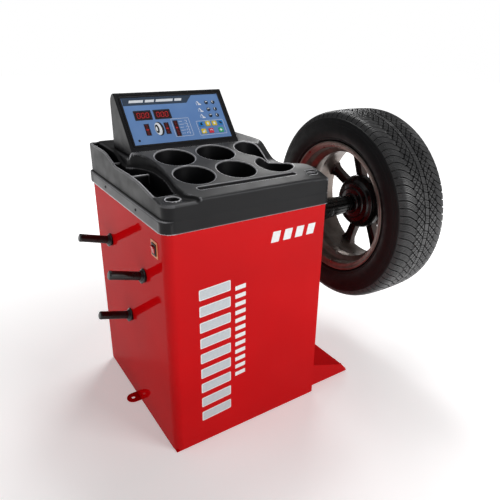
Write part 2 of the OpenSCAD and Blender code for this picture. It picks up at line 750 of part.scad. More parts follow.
rim_outer = [[0, lip_r], [5, lip_r + 0.4], [6.5, lip_r - 5], [7.5, seat_r + 4], [12, seat_r],
    [34, seat_r - 1.5], [38, seat_r - 5], [52, 200], [84, 200], [100, 207], [160, 212],
    [166, seat_r - 1], [188, seat_r], [192.5, seat_r + 4], [193.5, lip_r - 5], [195, lip_r + 0.4],
    [200, lip_r]];
rim_inner = [[200, lip_r - 4], [196, lip_r - 8], [191, seat_r - 5], [160, 206], [100, 201], [84, 194],
    [52, 194], [40, 207], [34, seat_r - 7], [9, seat_r - 5], [4, lip_r - 8], [0, lip_r - 4]];

module wheel_rim() color("silver") at_corner()
    difference() {
        union() {
            translate([lip_x, 0, 0]) spindle_turn() polygon(concat(rim_outer, rim_inner));
            spindle_cyl(flange_x, hub_t, hub_r);
            for (i = [0:spokes - 1])
                translate([0, axis_y, axis_z]) rotate([i * 360 / spokes + spoke_phase, 0, 0])
                    translate([flange_x + 14, -spoke_w / 2, hub_r - 6])
                        cube([28, spoke_w, spoke_end_r - hub_r + 6]);
        }
        spindle_cyl(flange_x - 1, hub_t + 2, hub_bore_r);
        for (a = [0:72:288])
            translate([flange_x - 1, axis_y, axis_z]) rotate([a, 0, 0]) translate([0, 0, lug_pcd_r])
                rotate([0, 90, 0]) {
                    cylinder(h = hub_t + 2, r = 7.2);
                    translate([0, 0, 16]) cylinder(h = hub_t, r = 11);
                }
        translate([valve_x, axis_y, axis_z]) rotate([-60, 0, 0]) cylinder(h = 260, r = 5.7);
    }

// Half of the tyre's outside, from the tread's middle to the bead
function tyre_side(s) = [for (p = [[0, 0], [0.3, -0.3], [0.62, -2], [0.78, -5], [0.88, -12],
    [0.94, -24], [0.98, -40], [1, -56], [0.99, -72], [0.95, -88], [0.885, -101]])
    [tyre_mid_x + s * p[0] * tyre_w / 2, tyre_r + p[1]]];
function flip(v) = [for (i = [len(v) - 1:-1:0]) v[i]];
tyre_outline = concat(flip(tyre_side(-1)), tyre_side(1),
    [[tyre_mid_x + 92.3, lip_r + 0.6], [tyre_mid_x + 91, seat_r + 4.4], [tyre_mid_x + 87, seat_r + 0.4],
     [tyre_mid_x + 74, seat_r + 0.4], [tyre_mid_x + 78, seat_r + 18], [tyre_mid_x + 90, tyre_r - 78],
     [tyre_mid_x + 96, tyre_r - 50], [tyre_mid_x + 88, tyre_r - 26], [tyre_mid_x + 66, tyre_r - 16],
     [tyre_mid_x - 66, tyre_r - 16], [tyre_mid_x - 88, tyre_r - 26], [tyre_mid_x - 96, tyre_r - 50],
     [tyre_mid_x - 90, tyre_r - 78], [tyre_mid_x - 78, seat_r + 18], [tyre_mid_x - 74, seat_r + 0.4],
     [tyre_mid_x - 87, seat_r + 0.4], [tyre_mid_x - 91, seat_r + 4.4],
     [tyre_mid_x - 92.3, lip_r + 0.6]]);

module tyre() color([0.1, 0.1, 0.1]) at_corner()
    spindle_turn() polygon(tyre_outline);

module valve_stem() color([0.1, 0.1, 0.1]) at_corner()
    translate([valve_x, axis_y, axis_z]) rotate([-60, 0, 0]) {
        translate([0, 0, 176]) cylinder(h = 41, r = 5.5);
        translate([0, 0, 168]) cylinder(h = 10, r = 3.8);
        translate([0, 0, 216]) cylinder(h = 3, r = 8);
    }

module balance_weights() color("dimgray") at_corner()
    for (a = [48, 62])
        intersection() {
            spindle_turn() polygon([[lip_x + 14, 209], [lip_x + 14, 212.6], [lip_x + 32, 211],
                [lip_x + 32, 207.5]]);
            translate([lip_x, axis_y, axis_z]) rotate([a, 0, 0]) translate([0, -12, 150])
                cube([60, 24, 90]);
        }

module pressure_cup() color([0.1, 0.1, 0.1]) at_corner()
    difference() {
        spindle_turn() polygon([[cup_x, 0], [cup_x, 44], [cup_x + 10, 50], [cup_x + 16, 50],
            [cup_x + 16, 0]]);
        spindle_cyl(cup_x - 1, 30, thread_r + 0.4);
    }

module quick_nut() color([0.15, 0.15, 0.15]) at_corner() {
    difference() {
        spindle_turn() polygon([[nut_x, 0], [nut_x, 44], [nut_x + 8, 46], [nut_x + 40, 40],
            [nut_x + 46, 34], [nut_x + 46, 0]]);
        spindle_cyl(nut_x - 1, 60, thread_r + run_gap);
    }
    for (a = [0, 180])
        translate([nut_x + 20, axis_y, axis_z]) rotate([a, 0, 0]) {
            translate([0, 0, 38]) cylinder(h = 70, r = 9);
            translate([0, 0, 104]) sphere(14);
        }
}

base_pan();
base_frame();
foot_pads();
outrigger_foot();
outrigger_bolts();
cabinet_shell();
rear_cover();
rear_cover_screws();
weight_tray();
tray_screws();
console_housing();
control_panel();
weight_displays();
position_lights();
display_board();
console_screws();
distance_down_key();
distance_up_key();
width_down_key();
width_up_key();
diameter_down_key();
diameter_up_key();
mode_key();
fine_key();
split_key();
units_key();
calibrate_key();
stop_key();
start_key();
power_switch_body();
power_switch_rocker();
peg_rods();
upper_peg_grip();
middle_peg_grip();
lower_peg_grip();
spindle_pedestal();
spindle_housing();
front_bearing();
rear_bearing();
force_sensors();
sensor_studs();
encoder_sensor();
motor_bracket();
drive_motor();
power_board();
mains_inlet();
drive_belt();
motor_pulley();
spindle_shaft();
driven_pulley();
encoder_disc();
wheel_flange();
threaded_shaft();
centring_cone();
wheel_rim();
tyre();
valve_stem();
balance_weights();
pressure_cup();
quick_nut();
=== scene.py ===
"""Looks of the wheel balancer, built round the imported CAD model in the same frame.

Lengths in this script are millimetres measured from the cabinet's front left bottom corner unless a
name says otherwise; at() turns them into the frame's metres.
"""

import math

import bmesh
import bpy
import numpy as np
from mathutils import Matrix, Vector


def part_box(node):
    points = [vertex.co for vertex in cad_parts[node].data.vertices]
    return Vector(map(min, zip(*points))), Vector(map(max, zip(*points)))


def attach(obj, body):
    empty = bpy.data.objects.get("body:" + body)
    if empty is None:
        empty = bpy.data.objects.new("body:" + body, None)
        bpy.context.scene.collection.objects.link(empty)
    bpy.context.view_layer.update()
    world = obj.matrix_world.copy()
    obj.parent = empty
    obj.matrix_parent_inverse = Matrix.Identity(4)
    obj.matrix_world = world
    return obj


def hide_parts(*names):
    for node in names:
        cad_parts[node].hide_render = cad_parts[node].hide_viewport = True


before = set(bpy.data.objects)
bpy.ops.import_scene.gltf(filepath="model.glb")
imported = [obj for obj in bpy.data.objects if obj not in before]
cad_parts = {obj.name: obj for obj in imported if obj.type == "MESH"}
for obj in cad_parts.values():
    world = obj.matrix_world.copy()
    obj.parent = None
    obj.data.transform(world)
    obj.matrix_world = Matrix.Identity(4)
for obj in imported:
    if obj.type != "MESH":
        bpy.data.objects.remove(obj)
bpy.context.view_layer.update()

SHELL_LOW, SHELL_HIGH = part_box("cabinet_shell")
SHAFT_LOW, SHAFT_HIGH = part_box("threaded_shaft")
CORNER = Vector((SHELL_LOW.x, SHELL_LOW.y, 0))
MM = 0.001
BODY_W = round((SHELL_HIGH.x - SHELL_LOW.x) / MM, 3)
AXIS_Y = (SHAFT_LOW.y + SHAFT_HIGH.y) / 2 / MM - CORNER.y / MM
AXIS_Z = (SHAFT_LOW.z + SHAFT_HIGH.z) / 2 / MM


def at(x, y, z):
    """A point in millimetres from the cabinet's corner, in the frame's metres."""
    return Vector((x * MM + CORNER.x, y * MM + CORNER.y, z * MM))


# Camera -------------------------------------------------------------------------------------------

def add_camera():
    azimuth, elevation, roll = map(math.radians, (-34.627, 22.507, 1.396))
    back = Vector((math.sin(azimuth) * math.cos(elevation), -math.cos(azimuth) * math.cos(elevation),
                   math.sin(elevation)))
    level = (-back).cross(Vector((0, 0, 1))).normalized()
    upright = level.cross(-back)
    right = math.cos(roll) * level + math.sin(roll) * upright
    up = -math.sin(roll) * level + math.cos(roll) * upright
    data = bpy.data.cameras.new("camera")
    data.lens = 35.83
    data.sensor_width = 36
    data.shift_x = -0.026
    data.shift_y = -0.018
    camera = bpy.data.objects.new("camera", data)
    bpy.context.scene.collection.objects.link(camera)
    camera.matrix_world = Matrix((
        (right.x, up.x, back.x, -0.7235),
        (right.y, up.y, back.y, -1.395),
        (right.z, up.z, back.z, 1.200),
        (0, 0, 0, 1)))
    bpy.context.scene.camera = camera


add_camera()


# Meshes -------------------------------------------------------------------------------------------

def make_mesh(name, points, faces):
    """A mesh from points in millimetres from the cabinet's corner."""
    mesh = bpy.data.meshes.new(name)
    placed = np.asarray(points, float) * MM + np.array(CORNER)
    mesh.from_pydata([tuple(p) for p in placed], [], [tuple(int(i) for i in f) for f in faces])
    mesh.update()
    return mesh


def clean(mesh, gap=1e-6):
    """Joins points that meet and turns every face outwards."""
    bm = bmesh.new()
    bm.from_mesh(mesh)
    bmesh.ops.remove_doubles(bm, verts=bm.verts, dist=gap)
    bmesh.ops.recalc_face_normals(bm, faces=bm.faces)
    bm.to_mesh(mesh)
    bm.free()


def join_meshes(name, meshes):
    """One mesh holding all of them, with their materials kept."""
    bm = bmesh.new()
    slots = []
    for mesh in meshes:
        start = len(bm.faces)
        bm.from_mesh(mesh)
        bm.faces.ensure_lookup_table()
        wanted = list(mesh.materials)
        for face in bm.faces[start:]:
            if not wanted:
                continue
            material = wanted[min(face.material_index, len(wanted) - 1)]
            if material not in slots:
                slots.append(material)
            face.material_index = slots.index(material)
    joined = bpy.data.meshes.new(name)
    bm.to_mesh(joined)
    bm.free()
    for material in slots:
        joined.materials.append(material)
    return joined


def shade(mesh, angle=35):
    """Smooth shading, with edges sharper than the angle kept crisp."""
    mesh.shade_smooth()
    bm = bmesh.new()
    bm.from_mesh(mesh)
    limit = math.radians(angle)
    for edge in bm.edges:
        edge.smooth = edge.is_manifold and edge.calc_face_angle(0) < limit
    bm.to_mesh(mesh)
    bm.free()


def piece(name, mesh, material, body, replaces=(), angle=35):
    """Puts a finished mesh in the scene as a piece of the machine."""
    obj = bpy.data.objects.new(name, mesh)
    bpy.context.scene.collection.objects.link(obj)
    if material is not None:
        mesh.materials.clear()
        mesh.materials.append(material)
    if angle:
        shade(mesh, angle)
        even = obj.modifiers.new("even_normals", "WEIGHTED_NORMAL")
        even.keep_sharp = True
        even.weight = 90
    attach(obj, body)
    if replaces:
        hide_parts(*replaces)
    return obj


def bevel_edges(mesh, width, segments=3, angle=30):
    """Rounds every edge sharper than the angle, by a width in millimetres."""
    bm = bmesh.new()
    bm.from_mesh(mesh)
    bmesh.ops.remove_doubles(bm, verts=bm.verts, dist=2e-6)
    limit = math.radians(angle)
    sharp = [e for e in bm.edges if e.is_manifold and e.calc_face_angle(0) > limit]
    bmesh.ops.bevel(bm, geom=sharp, offset=width * MM, segments=segments, profile=0.5, affect="EDGES",
                    clamp_overlap=True)
    bmesh.ops.recalc_face_normals(bm, faces=bm.faces)
    bm.to_mesh(mesh)
    bm.free()
    return mesh


def from_cad(node, width, segments=2, angle=30):
    """A copy of a CAD node's mesh with its flat faces merged and its edges rounded."""
    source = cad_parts[node]
    mesh = source.data.copy()
    mesh.name = node + "_rounded"
    bm = bmesh.new()
    bm.from_mesh(mesh)
    bmesh.ops.remove_doubles(bm, verts=bm.verts, dist=2e-6)
    bmesh.ops.dissolve_limit(bm, angle_limit=math.radians(0.4), verts=bm.verts, edges=bm.edges)
    bm.to_mesh(mesh)
    bm.free()
    if width:
        bevel_edges(mesh, width, segments, angle)
    return mesh


def rounded_rectangle(width, height, radius, steps=5):
    """Points round a rectangle centred on the origin."""
    points = []
    for cx, cy, start in ((1, 1, 0), (-1, 1, 90), (-1, -1, 180), (1, -1, 270)):
        for i in range(steps + 1):
            a = math.radians(start + 90 * i / steps)
            points.append((cx * (width / 2 - radius) + radius * math.cos(a),
                           cy * (height / 2 - radius) + radius * math.sin(a)))
    return points


def circle_points(radius, count=32, x=0, y=0):
    return [(x + radius * math.cos(2 * math.pi * i / count), y + radius * math.sin(2 * math.pi * i / count))
            for i in range(count)]


def prism(name, outline, place, low, high, width=0, segments=2):
    """An outline pushed from low to high. place turns its (u, v, h) into millimetres from the corner."""
    count = len(outline)
    points = [place(u, v, low) for u, v in outline] + [place(u, v, high) for u, v in outline]
    faces = [tuple(range(count))[::-1], tuple(range(count, 2 * count))]
    faces += [(i, (i + 1) % count, count + (i + 1) % count, count + i) for i in range(count)]
    mesh = make_mesh(name, points, faces)
    clean(mesh)
    if width:
        bevel_edges(mesh, width, segments)
    return mesh


def along_x(u, v, h):
    """Outline in Y and Z, pushed along X."""
    return (h, u, v)


def softened(outline, radius, steps=4, closed=True):
    """The outline with its corners rounded by the radius, or less where a side is short."""
    out = []
    count = len(outline)
    for i, point in enumerate(outline):
        if not closed and i in (0, count - 1):
            out.append(tuple(point))
            continue
        here = Vector(point)
        before = Vector(outline[i - 1]) - here
        after = Vector(outline[(i + 1) % count]) - here
        reach = min(radius, before.length * 0.48, after.length * 0.48)
        a, b = here + before.normalized() * reach, here + after.normalized() * reach
        for k in range(steps + 1):
            t = k / steps
            out.append(tuple((1 - t) ** 2 * a + 2 * t * (1 - t) * here + t * t * b))
    return out


def revolved(name, profile, place, segments):
    """A closed profile of (along, radius) points turned full circle. place puts a point at an angle."""
    points, faces, count = [], [], len(profile)
    for k in range(segments):
        a = 2 * math.pi * k / segments
        points += [place(along, r, a) for along, r in profile]
        n = (k + 1) % segments
        for i in range(count):
            j = (i + 1) % count
            faces.append((k * count + i, k * count + j, n * count + j, n * count + i))
    mesh = make_mesh(name, points, faces)
    clean(mesh)
    return mesh


def lathe(name, profile, segments=128):
    """A profile of (x, radius) turned round the spindle's axis."""
    return revolved(name, profile, lambda x, r, a: (x, AXIS_Y - r * math.sin(a), AXIS_Z + r * math.cos(a)),
                    segments)


def turned(name, profile, foot, axis, segments=96):
    """A profile of (along, radius) points turned round a line through foot along the unit vector axis."""
    side = axis.orthogonal().normalized()
    other = axis.cross(side)
    return revolved(name, profile, lambda along, r, a: tuple(
        foot + axis * along + (math.cos(a) * side + math.sin(a) * other) * r), segments)


# Materials ----------------------------------------------------------------------------------------

def colour(code):
    """An sRGB hex colour as linear values."""
    out = []
    for i in (0, 2, 4):
        c = int(code[i:i + 2], 16) / 255
        out.append(c / 12.92 if c <= 0.04045 else ((c + 0.055) / 1.055) ** 2.4)
    return (*out, 1.0)


def add(tree, kind, inputs=None, **settings):
    """Adds a node. inputs holds a value or another node's output for each of its sockets."""
    new = tree.nodes.new(kind)
    for key, value in settings.items():
        setattr(new, key, value)
    for key, value in (inputs or {}).items():
        socket = new.inputs[key]
        if isinstance(value, bpy.types.NodeSocket):
            tree.links.new(value, socket)
        else:
            socket.default_value = value
    return new


def begin(name):
    """A new material, its tree, its shader and the object coordinates."""
    material = bpy.data.materials.new(name)
    material.use_nodes = True
    tree = material.node_tree
    shader = tree.nodes["Principled BSDF"]
    coords = add(tree, "ShaderNodeTexCoord").outputs["Object"]
    return material, tree, shader, coords


def noise(tree, coords, size_mm, detail=3.0, rough=0.5):
    """Noise whose features are about size_mm across."""
    return add(tree, "ShaderNodeTexNoise", {"Vector": coords, "Scale": 1000 / size_mm, "Detail": detail,
                                            "Roughness": rough}).outputs["Fac"]


def spread(tree, value, low, high, from_low=0.3, from_high=0.7):
    """Maps a noise value onto the range from low to high."""
    return add(tree, "ShaderNodeMapRange", {"Value": value, "From Min": from_low, "From Max": from_high,
                                            "To Min": low, "To Max": high}).outputs["Result"]


def mixed(tree, factor, first, second, blend="MIX"):
    """A mix of two colours, each a linear value or another node's output."""
    node = add(tree, "ShaderNodeMix", data_type="RGBA", blend_type=blend)
    for index, value in ((0, factor), (6, first), (7, second)):
        if isinstance(value, bpy.types.NodeSocket):
            tree.links.new(value, node.inputs[index])
        else:
            node.inputs[index].default_value = value
    return node.outputs[2]


def set_input(tree, shader, name, value):
    if isinstance(value, bpy.types.NodeSocket):
        tree.links.new(value, shader.inputs[name])
    else:
        shader.inputs[name].default_value = value


def bump(tree, height, depth_mm, strength=1.0, over=None):
    inputs = {"Height": height, "Strength": strength, "Distance": depth_mm * MM}
    if over is not None:
        inputs["Normal"] = over
    return add(tree, "ShaderNodeBump", inputs).outputs["Normal"]


def two_tone(name, base, other, tone_noise, rough_noise, rough_range):
    """A new material whose two colours drift into each other and whose gloss is uneven. Each noise is a
    size in millimetres and a level of detail."""
    material, tree, shader, coords = begin(name)
    tone = spread(tree, noise(tree, coords, *tone_noise), 0, 1)
    set_input(tree, shader, "Base Color", mixed(tree, tone, colour(base), colour(other)))
    set_input(tree, shader, "Roughness", spread(tree, noise(tree, coords, *rough_noise), *rough_range))
    return material, tree, shader, coords, tone


def enamel(name, base, other, rough=0.16, peel_mm=2.2, coat=0.8, peel=0.3, sheen=0.5):
    """Sprayed gloss enamel on steel: slight orange peel under a clear top layer, with a faint drift in
    its colour across a panel. sheen is how strongly the colour coat itself reflects."""
    material, tree, shader, coords, _ = two_tone(name, base, other, (260, 2), (35, 4), (rough, rough + 0.09))
    shader.inputs["Specular IOR Level"].default_value = sheen
    shader.inputs["Coat Weight"].default_value = coat
    shader.inputs["Coat Roughness"].default_value = 0.05
    skin = bump(tree, noise(tree, coords, peel_mm, 1), 0.03, peel)
    set_input(tree, shader, "Normal", skin)
    set_input(tree, shader, "Coat Normal", skin)
    return material


def moulded(name, base, other, rough=0.4, grain_mm=0.7, depth_mm=0.05, drift_mm=120, edge=None, sheen=0.3):
    """Moulded plastic with a fine leather-like grain; handling leaves broad duller and shinier areas.
    edge is the colour of a painted highlight laid on rims and corners, where the mesh has an "edge"
    attribute; those places are made glossier too."""
    material, tree, shader, coords = begin(name)
    drift = spread(tree, noise(tree, coords, drift_mm, 3), 0, 1)
    skin = mixed(tree, drift, colour(base), colour(other))
    dull = spread(tree, noise(tree, coords, drift_mm / 2, 4), rough - 0.06, rough + 0.08)
    if edge:
        # Painted highlight: rims and corners are lightened towards the edge colour and their roughness is
        # lowered.
        painted_rim_highlight = add(tree, "ShaderNodeAttribute", attribute_name="edge").outputs["Fac"]
        skin = mixed(tree, painted_rim_highlight, skin, colour(edge))
        dull = add(tree, "ShaderNodeMath", {0: dull, 1: add(tree, "ShaderNodeMath", {0: painted_rim_highlight, 1: 0.16},
                   operation="MULTIPLY").outputs[0]}, operation="SUBTRACT").outputs[0]
    set_input(tree, shader, "Base Color", skin)
    set_input(tree, shader, "Roughness", dull)
    shader.inputs["Specular IOR Level"].default_value = sheen
    cells = add(tree, "ShaderNodeTexVoronoi", {"Vector": coords, "Scale": 1000 / grain_mm},
                feature="SMOOTH_F1").outputs["Distance"]
    set_input(tree, shader, "Normal", bump(tree, cells, depth_mm, 0.5))
    return material


def rubber(name, base, other, rough=0.55, grain_mm=0.9, bloom=0.25, sheen=0.4):
    """Cured rubber: near black, with a greyish bloom in patches and a finely pitted skin."""
    material, tree, shader, coords = begin(name)
    patches = spread(tree, noise(tree, coords, 60, 5, 0.6), 0, bloom, 0.45, 0.75)
    set_input(tree, shader, "Base Color", mixed(tree, patches, colour(base), colour(other)))
    set_input(tree, shader, "Roughness", spread(tree, noise(tree, coords, 25, 4), rough - 0.07, rough + 0.1))
    shader.inputs["Specular IOR Level"].default_value = sheen
    set_input(tree, shader, "Normal", bump(tree, noise(tree, coords, grain_mm, 3), 0.06, 0.5))
    return material


def metal(name, base, other, rough=0.28, spots_mm=18, scratch=0.35, stretch=(1, 1, 1)):
    """Bare or plated metal. stretch lengthens the tool marks along an axis of the part."""
    material, tree, shader, coords = begin(name)
    shader.inputs["Metallic"].default_value = 1.0
    tone = spread(tree, noise(tree, coords, spots_mm, 4), 0, 1)
    set_input(tree, shader, "Base Color", mixed(tree, tone, colour(base), colour(other)))
    marks = add(tree, "ShaderNodeMapping", {"Vector": coords, "Scale": stretch}).outputs["Vector"]
    fine = noise(tree, marks, 1.2, 4, 0.6)
    set_input(tree, shader, "Roughness", spread(tree, fine, rough - 0.06, rough + 0.12))
    set_input(tree, shader, "Normal", bump(tree, fine, 0.03, scratch))
    return material


def turned_metal(name, base, other, rough=0.25, pitch_mm=0.6):
    """Metal finished on a lathe: fine rings at an even pitch along the spindle's axis."""
    material, tree, shader, coords, _ = two_tone(name, base, other, (22, 4), (9, 3),
                                                 (rough - 0.05, rough + 0.1))
    shader.inputs["Metallic"].default_value = 1.0
    rings = add(tree, "ShaderNodeTexWave", {"Vector": coords, "Scale": 1000 / pitch_mm / 6.283,
                                            "Distortion": 0.4}, bands_direction="X").outputs["Fac"]
    set_input(tree, shader, "Normal", bump(tree, rings, 0.02, 0.4))
    return material


def ink(name, base, other, rough=0.35):
    """Printed or cut vinyl graphics: an even colour with a little mottling, and a dead flat skin."""
    return two_tone(name, base, other, (9, 3), (14, 2), (rough - 0.04, rough + 0.06))[0]


def lamp(name, base, other, glow, strength):
    """A lit segment behind a tinted window: its glow isn't quite even."""
    material, tree, shader, _, tone = two_tone(name, base, other, (6, 2), (10, 2), (0.25, 0.35))
    set_input(tree, shader, "Emission Color", mixed(tree, tone, colour(glow), colour(base)))
    shader.inputs["Emission Strength"].default_value = strength
    return material


def cast_alloy():
    """Back of a painted alloy wheel: a warm grey-brown lacquer over a casting, dusty with brake film,
    so it is duller in broad patches and slightly rough to the touch."""
    material, tree, shader, coords = begin("cast_alloy_lacquered")
    film = spread(tree, noise(tree, coords, 45, 5, 0.6), 0, 0.8)
    base = mixed(tree, film, colour("8D837C"), colour("64564F"))
    set_input(tree, shader, "Base Color", base)
    shader.inputs["Metallic"].default_value = 0.75
    set_input(tree, shader, "Roughness", spread(tree, noise(tree, coords, 28, 4), 0.26, 0.42))
    set_input(tree, shader, "Normal", bump(tree, noise(tree, coords, 1.6, 3), 0.08, 0.35))
    return material


def spoke_alloy():
    """The as-cast inside of the spokes: dark brown, matter than the machined barrel."""
    material, tree, shader, coords = begin("cast_alloy_brake_dust")
    dust = spread(tree, noise(tree, coords, 30, 5, 0.65), 0, 1)
    set_input(tree, shader, "Base Color", mixed(tree, dust, colour("4A3B36"), colour("2C2321")))
    shader.inputs["Metallic"].default_value = 0.35
    set_input(tree, shader, "Roughness", spread(tree, noise(tree, coords, 20, 4), 0.42, 0.6))
    set_input(tree, shader, "Normal", bump(tree, noise(tree, coords, 1.2, 3), 0.12, 0.5))
    return material


def membrane():
    """Polyester membrane of the keypad: blue printed under the film, which has a fine even texture."""
    material, tree, shader, coords, _ = two_tone("membrane_polyester_blue", "5F86BF", "6B90C4", (90, 2),
                                                 (20, 2), (0.3, 0.38))
    set_input(tree, shader, "Normal", bump(tree, noise(tree, coords, 0.5, 1), 0.01, 0.3))
    return material


def window():
    """Smoked red acrylic over the displays."""
    material, _, shader, _, _ = two_tone("acrylic_smoked_red", "3A0D12", "260A0E", (20, 2), (30, 2),
                                         (0.08, 0.16))
    shader.inputs["Coat Weight"].default_value = 0.5
    return material


def laminate():
    """Circuit board: green solder mask over copper tracks, seen as a faint woven relief."""
    material, tree, shader, coords = begin("circuit_laminate_green")
    weave = add(tree, "ShaderNodeTexBrick", {"Vector": coords, "Scale": 120.0, "Color1": colour("0B5A2C"),
                                             "Color2": colour("0E6934"), "Mortar": colour("09401F")})
    set_input(tree, shader, "Base Color", weave.outputs["Color"])
    set_input(tree, shader, "Roughness", spread(tree, noise(tree, coords, 12, 2), 0.3, 0.42))
    return material


RED = enamel("enamel_signal_red", "CC060D", "C2060C", rough=0.3, coat=0.2, peel=0.08, sheen=0.0)
BLACK_GLOSS = enamel("enamel_gloss_black", "060607", "09090A", rough=0.22, peel_mm=8.0, coat=0.3, peel=0.05,
                     sheen=0.3)
PRIMER = enamel("enamel_satin_grey", "4B4C4F", "424346", rough=0.4, coat=0.1)
MOTOR_PAINT = enamel("enamel_motor_slate", "39424D", "2F3742", rough=0.35, coat=0.2)
NUT_PAINT = enamel("enamel_satin_black", "1C1C1E", "252527", rough=0.3, coat=0.3)
# The tray's pale edge colour is a painted highlight along its rims and corners.
TRAY = moulded("moulded_abs_charcoal", "111113", "151517", rough=0.4, grain_mm=0.9, edge="D2D2D6", sheen=0.2)
CONSOLE = moulded("moulded_abs_dark_grey", "151517", "1B1B1E", rough=0.36, grain_mm=1.1, sheen=0.2)
BLACK_PLASTIC = moulded("moulded_nylon_black", "0E0E10", "141416", rough=0.42)
CUP_PLASTIC = moulded("moulded_pressure_cup", "18181A", "222224", rough=0.45)
GRIP = rubber("moulded_grip_rubber", "0A0A0B", "1A1A1B", rough=0.3, sheen=0.5)
TYRE = rubber("tyre_tread_rubber", "2C2C2D", "5C5C5C", rough=0.4, grain_mm=0.8, bloom=0.35, sheen=0.5)
SIDEWALL = rubber("tyre_sidewall_rubber", "0A0A0B", "171718", rough=0.5, grain_mm=1.4, sheen=0.25)
SMALL_RUBBER = rubber("foot_and_valve_rubber", "121212", "303030", rough=0.6)
BELT = rubber("belt_rubber", "101010", "282828", rough=0.55)
ZINC = metal("steel_zinc_plated", "C3C5C6", "A9ADB0", rough=0.26)
BLACKENED = metal("steel_blackened", "3A3A3C", "2A2A2C", rough=0.34)
GROUND = turned_metal("steel_ground", "B9B9BA", "A3A3A6", rough=0.2)
ALUMINIUM = turned_metal("aluminium_turned", "C6C7CA", "B0B2B6", rough=0.3, pitch_mm=0.9)
WEIGHT = metal("lead_free_weight_coated", "5A5856", "45423F", rough=0.45)
ALLOY = cast_alloy()
SPOKE = spoke_alloy()
MEMBRANE = membrane()
WINDOW = window()
BOARD = laminate()
SLATE = ink("print_slate_blue", "2C3C50", "314257", rough=0.32)
WHITE = ink("print_white", "E9EDF2", "DDE2EA")
BLACK_INK = ink("print_black", "15171B", "1D2026")
DECAL_GREY = ink("vinyl_light_grey", "C9CFD3", "BFC6CB")
DECAL_WHITE = ink("vinyl_white", "F1F1F1", "E6E7E8")
ORANGE = ink("vinyl_orange", "E88A55", "DD7B45")
LED = lamp("lamp_red_lit", "B01E22", "8E1519", "C0201F", 0.35)
LED_DARK = lamp("lamp_red_dim", "5A1014", "48090D", "6A0E12", 0.1)
KEY_PAINTS = {
    "round_key_plastic": ink("key_dark_slate", "16222F", "1C2A3A", rough=0.3),
    "blue_key_plastic": ink("key_blue", "1E7FC8", "2A8CD2", rough=0.3),
    "yellow_key_plastic": ink("key_yellow", "E6CF2A", "DDC21E", rough=0.3),
    "red_key_plastic": ink("key_red", "D93A4C", "CC2F42", rough=0.3),
    "green_key_plastic": ink("key_green", "2DB56B", "27A660", rough=0.3),
}
SWITCH_RED = ink("switch_cap_red", "C9262B", "B81E24", rough=0.22)


# Weight tray: a distance field in millimetres, turned into a mesh ----------------------------------

DECK_Z = 812
SLOPE = math.tan(math.radians(10.9))
SHELF_Y, SHELF_Z = 318, 856
CUPS = [(x, y) for x in (153, 290.5, 427.5) for y in (128, 253)]
CREST = ((-20, 100), (10, 96), (30, 75), (78, 71), (133, 78), (179, 80), (228, 79), (271, 72), (303, 55),
         (318, 33), (640, 33))
LEFT_EDGE = ((-10, 803), (34, 804), (82, 812), (137, 821), (161, 825), (230, 829), (325, 828), (361, 828),
             (391, 839), (446, 855), (543, 857), (610, 855))
DIP_EDGE = ((-10, 805), (17, 811), (32, 820), (58, 826), (96, 826), (134, 820), (189, 809), (233, 801),
            (268, 801), (293, 807), (326, 828), (345, 843), (362, 852), (380, 856), (610, 856))


def soft_min(a, b, k):
    h = np.clip(0.5 + 0.5 * (b - a) / k, 0, 1)
    return b + (a - b) * h - k * h * (1 - h)


def soft_max(a, b, k):
    return -soft_min(-a, -b, k)


def smooth_step(low, high, value):
    t = np.clip((value - low) / (high - low), 0, 1)
    return t * t * (3 - 2 * t)


def smooth_table(value, table):
    """A table of (at, value) rows read with its corners eased."""
    rows = sorted(table)
    keys, values = [r[0] for r in rows], [r[1] for r in rows]
    reads = [np.interp(value + shift, keys, values) for shift in (-9, -4.5, 0, 4.5, 9)]
    return sum(reads) / len(reads)


def rounded_box_2d(x, y, x0, y0, x1, y1, r):
    """Distance to a rectangle with round corners; r may differ from place to place."""
    dx = np.abs(x - (x0 + x1) / 2) - (x1 - x0) / 2 + r
    dy = np.abs(y - (y0 + y1) / 2) - (y1 - y0) / 2 + r
    return np.hypot(np.maximum(dx, 0), np.maximum(dy, 0)) + np.minimum(np.maximum(dx, dy), 0) - r


def pocket(z, flat, floor, k=5):
    """A pocket with the plan distance flat, going down to floor with a rounded foot."""
    return soft_max(flat, floor - z, k)


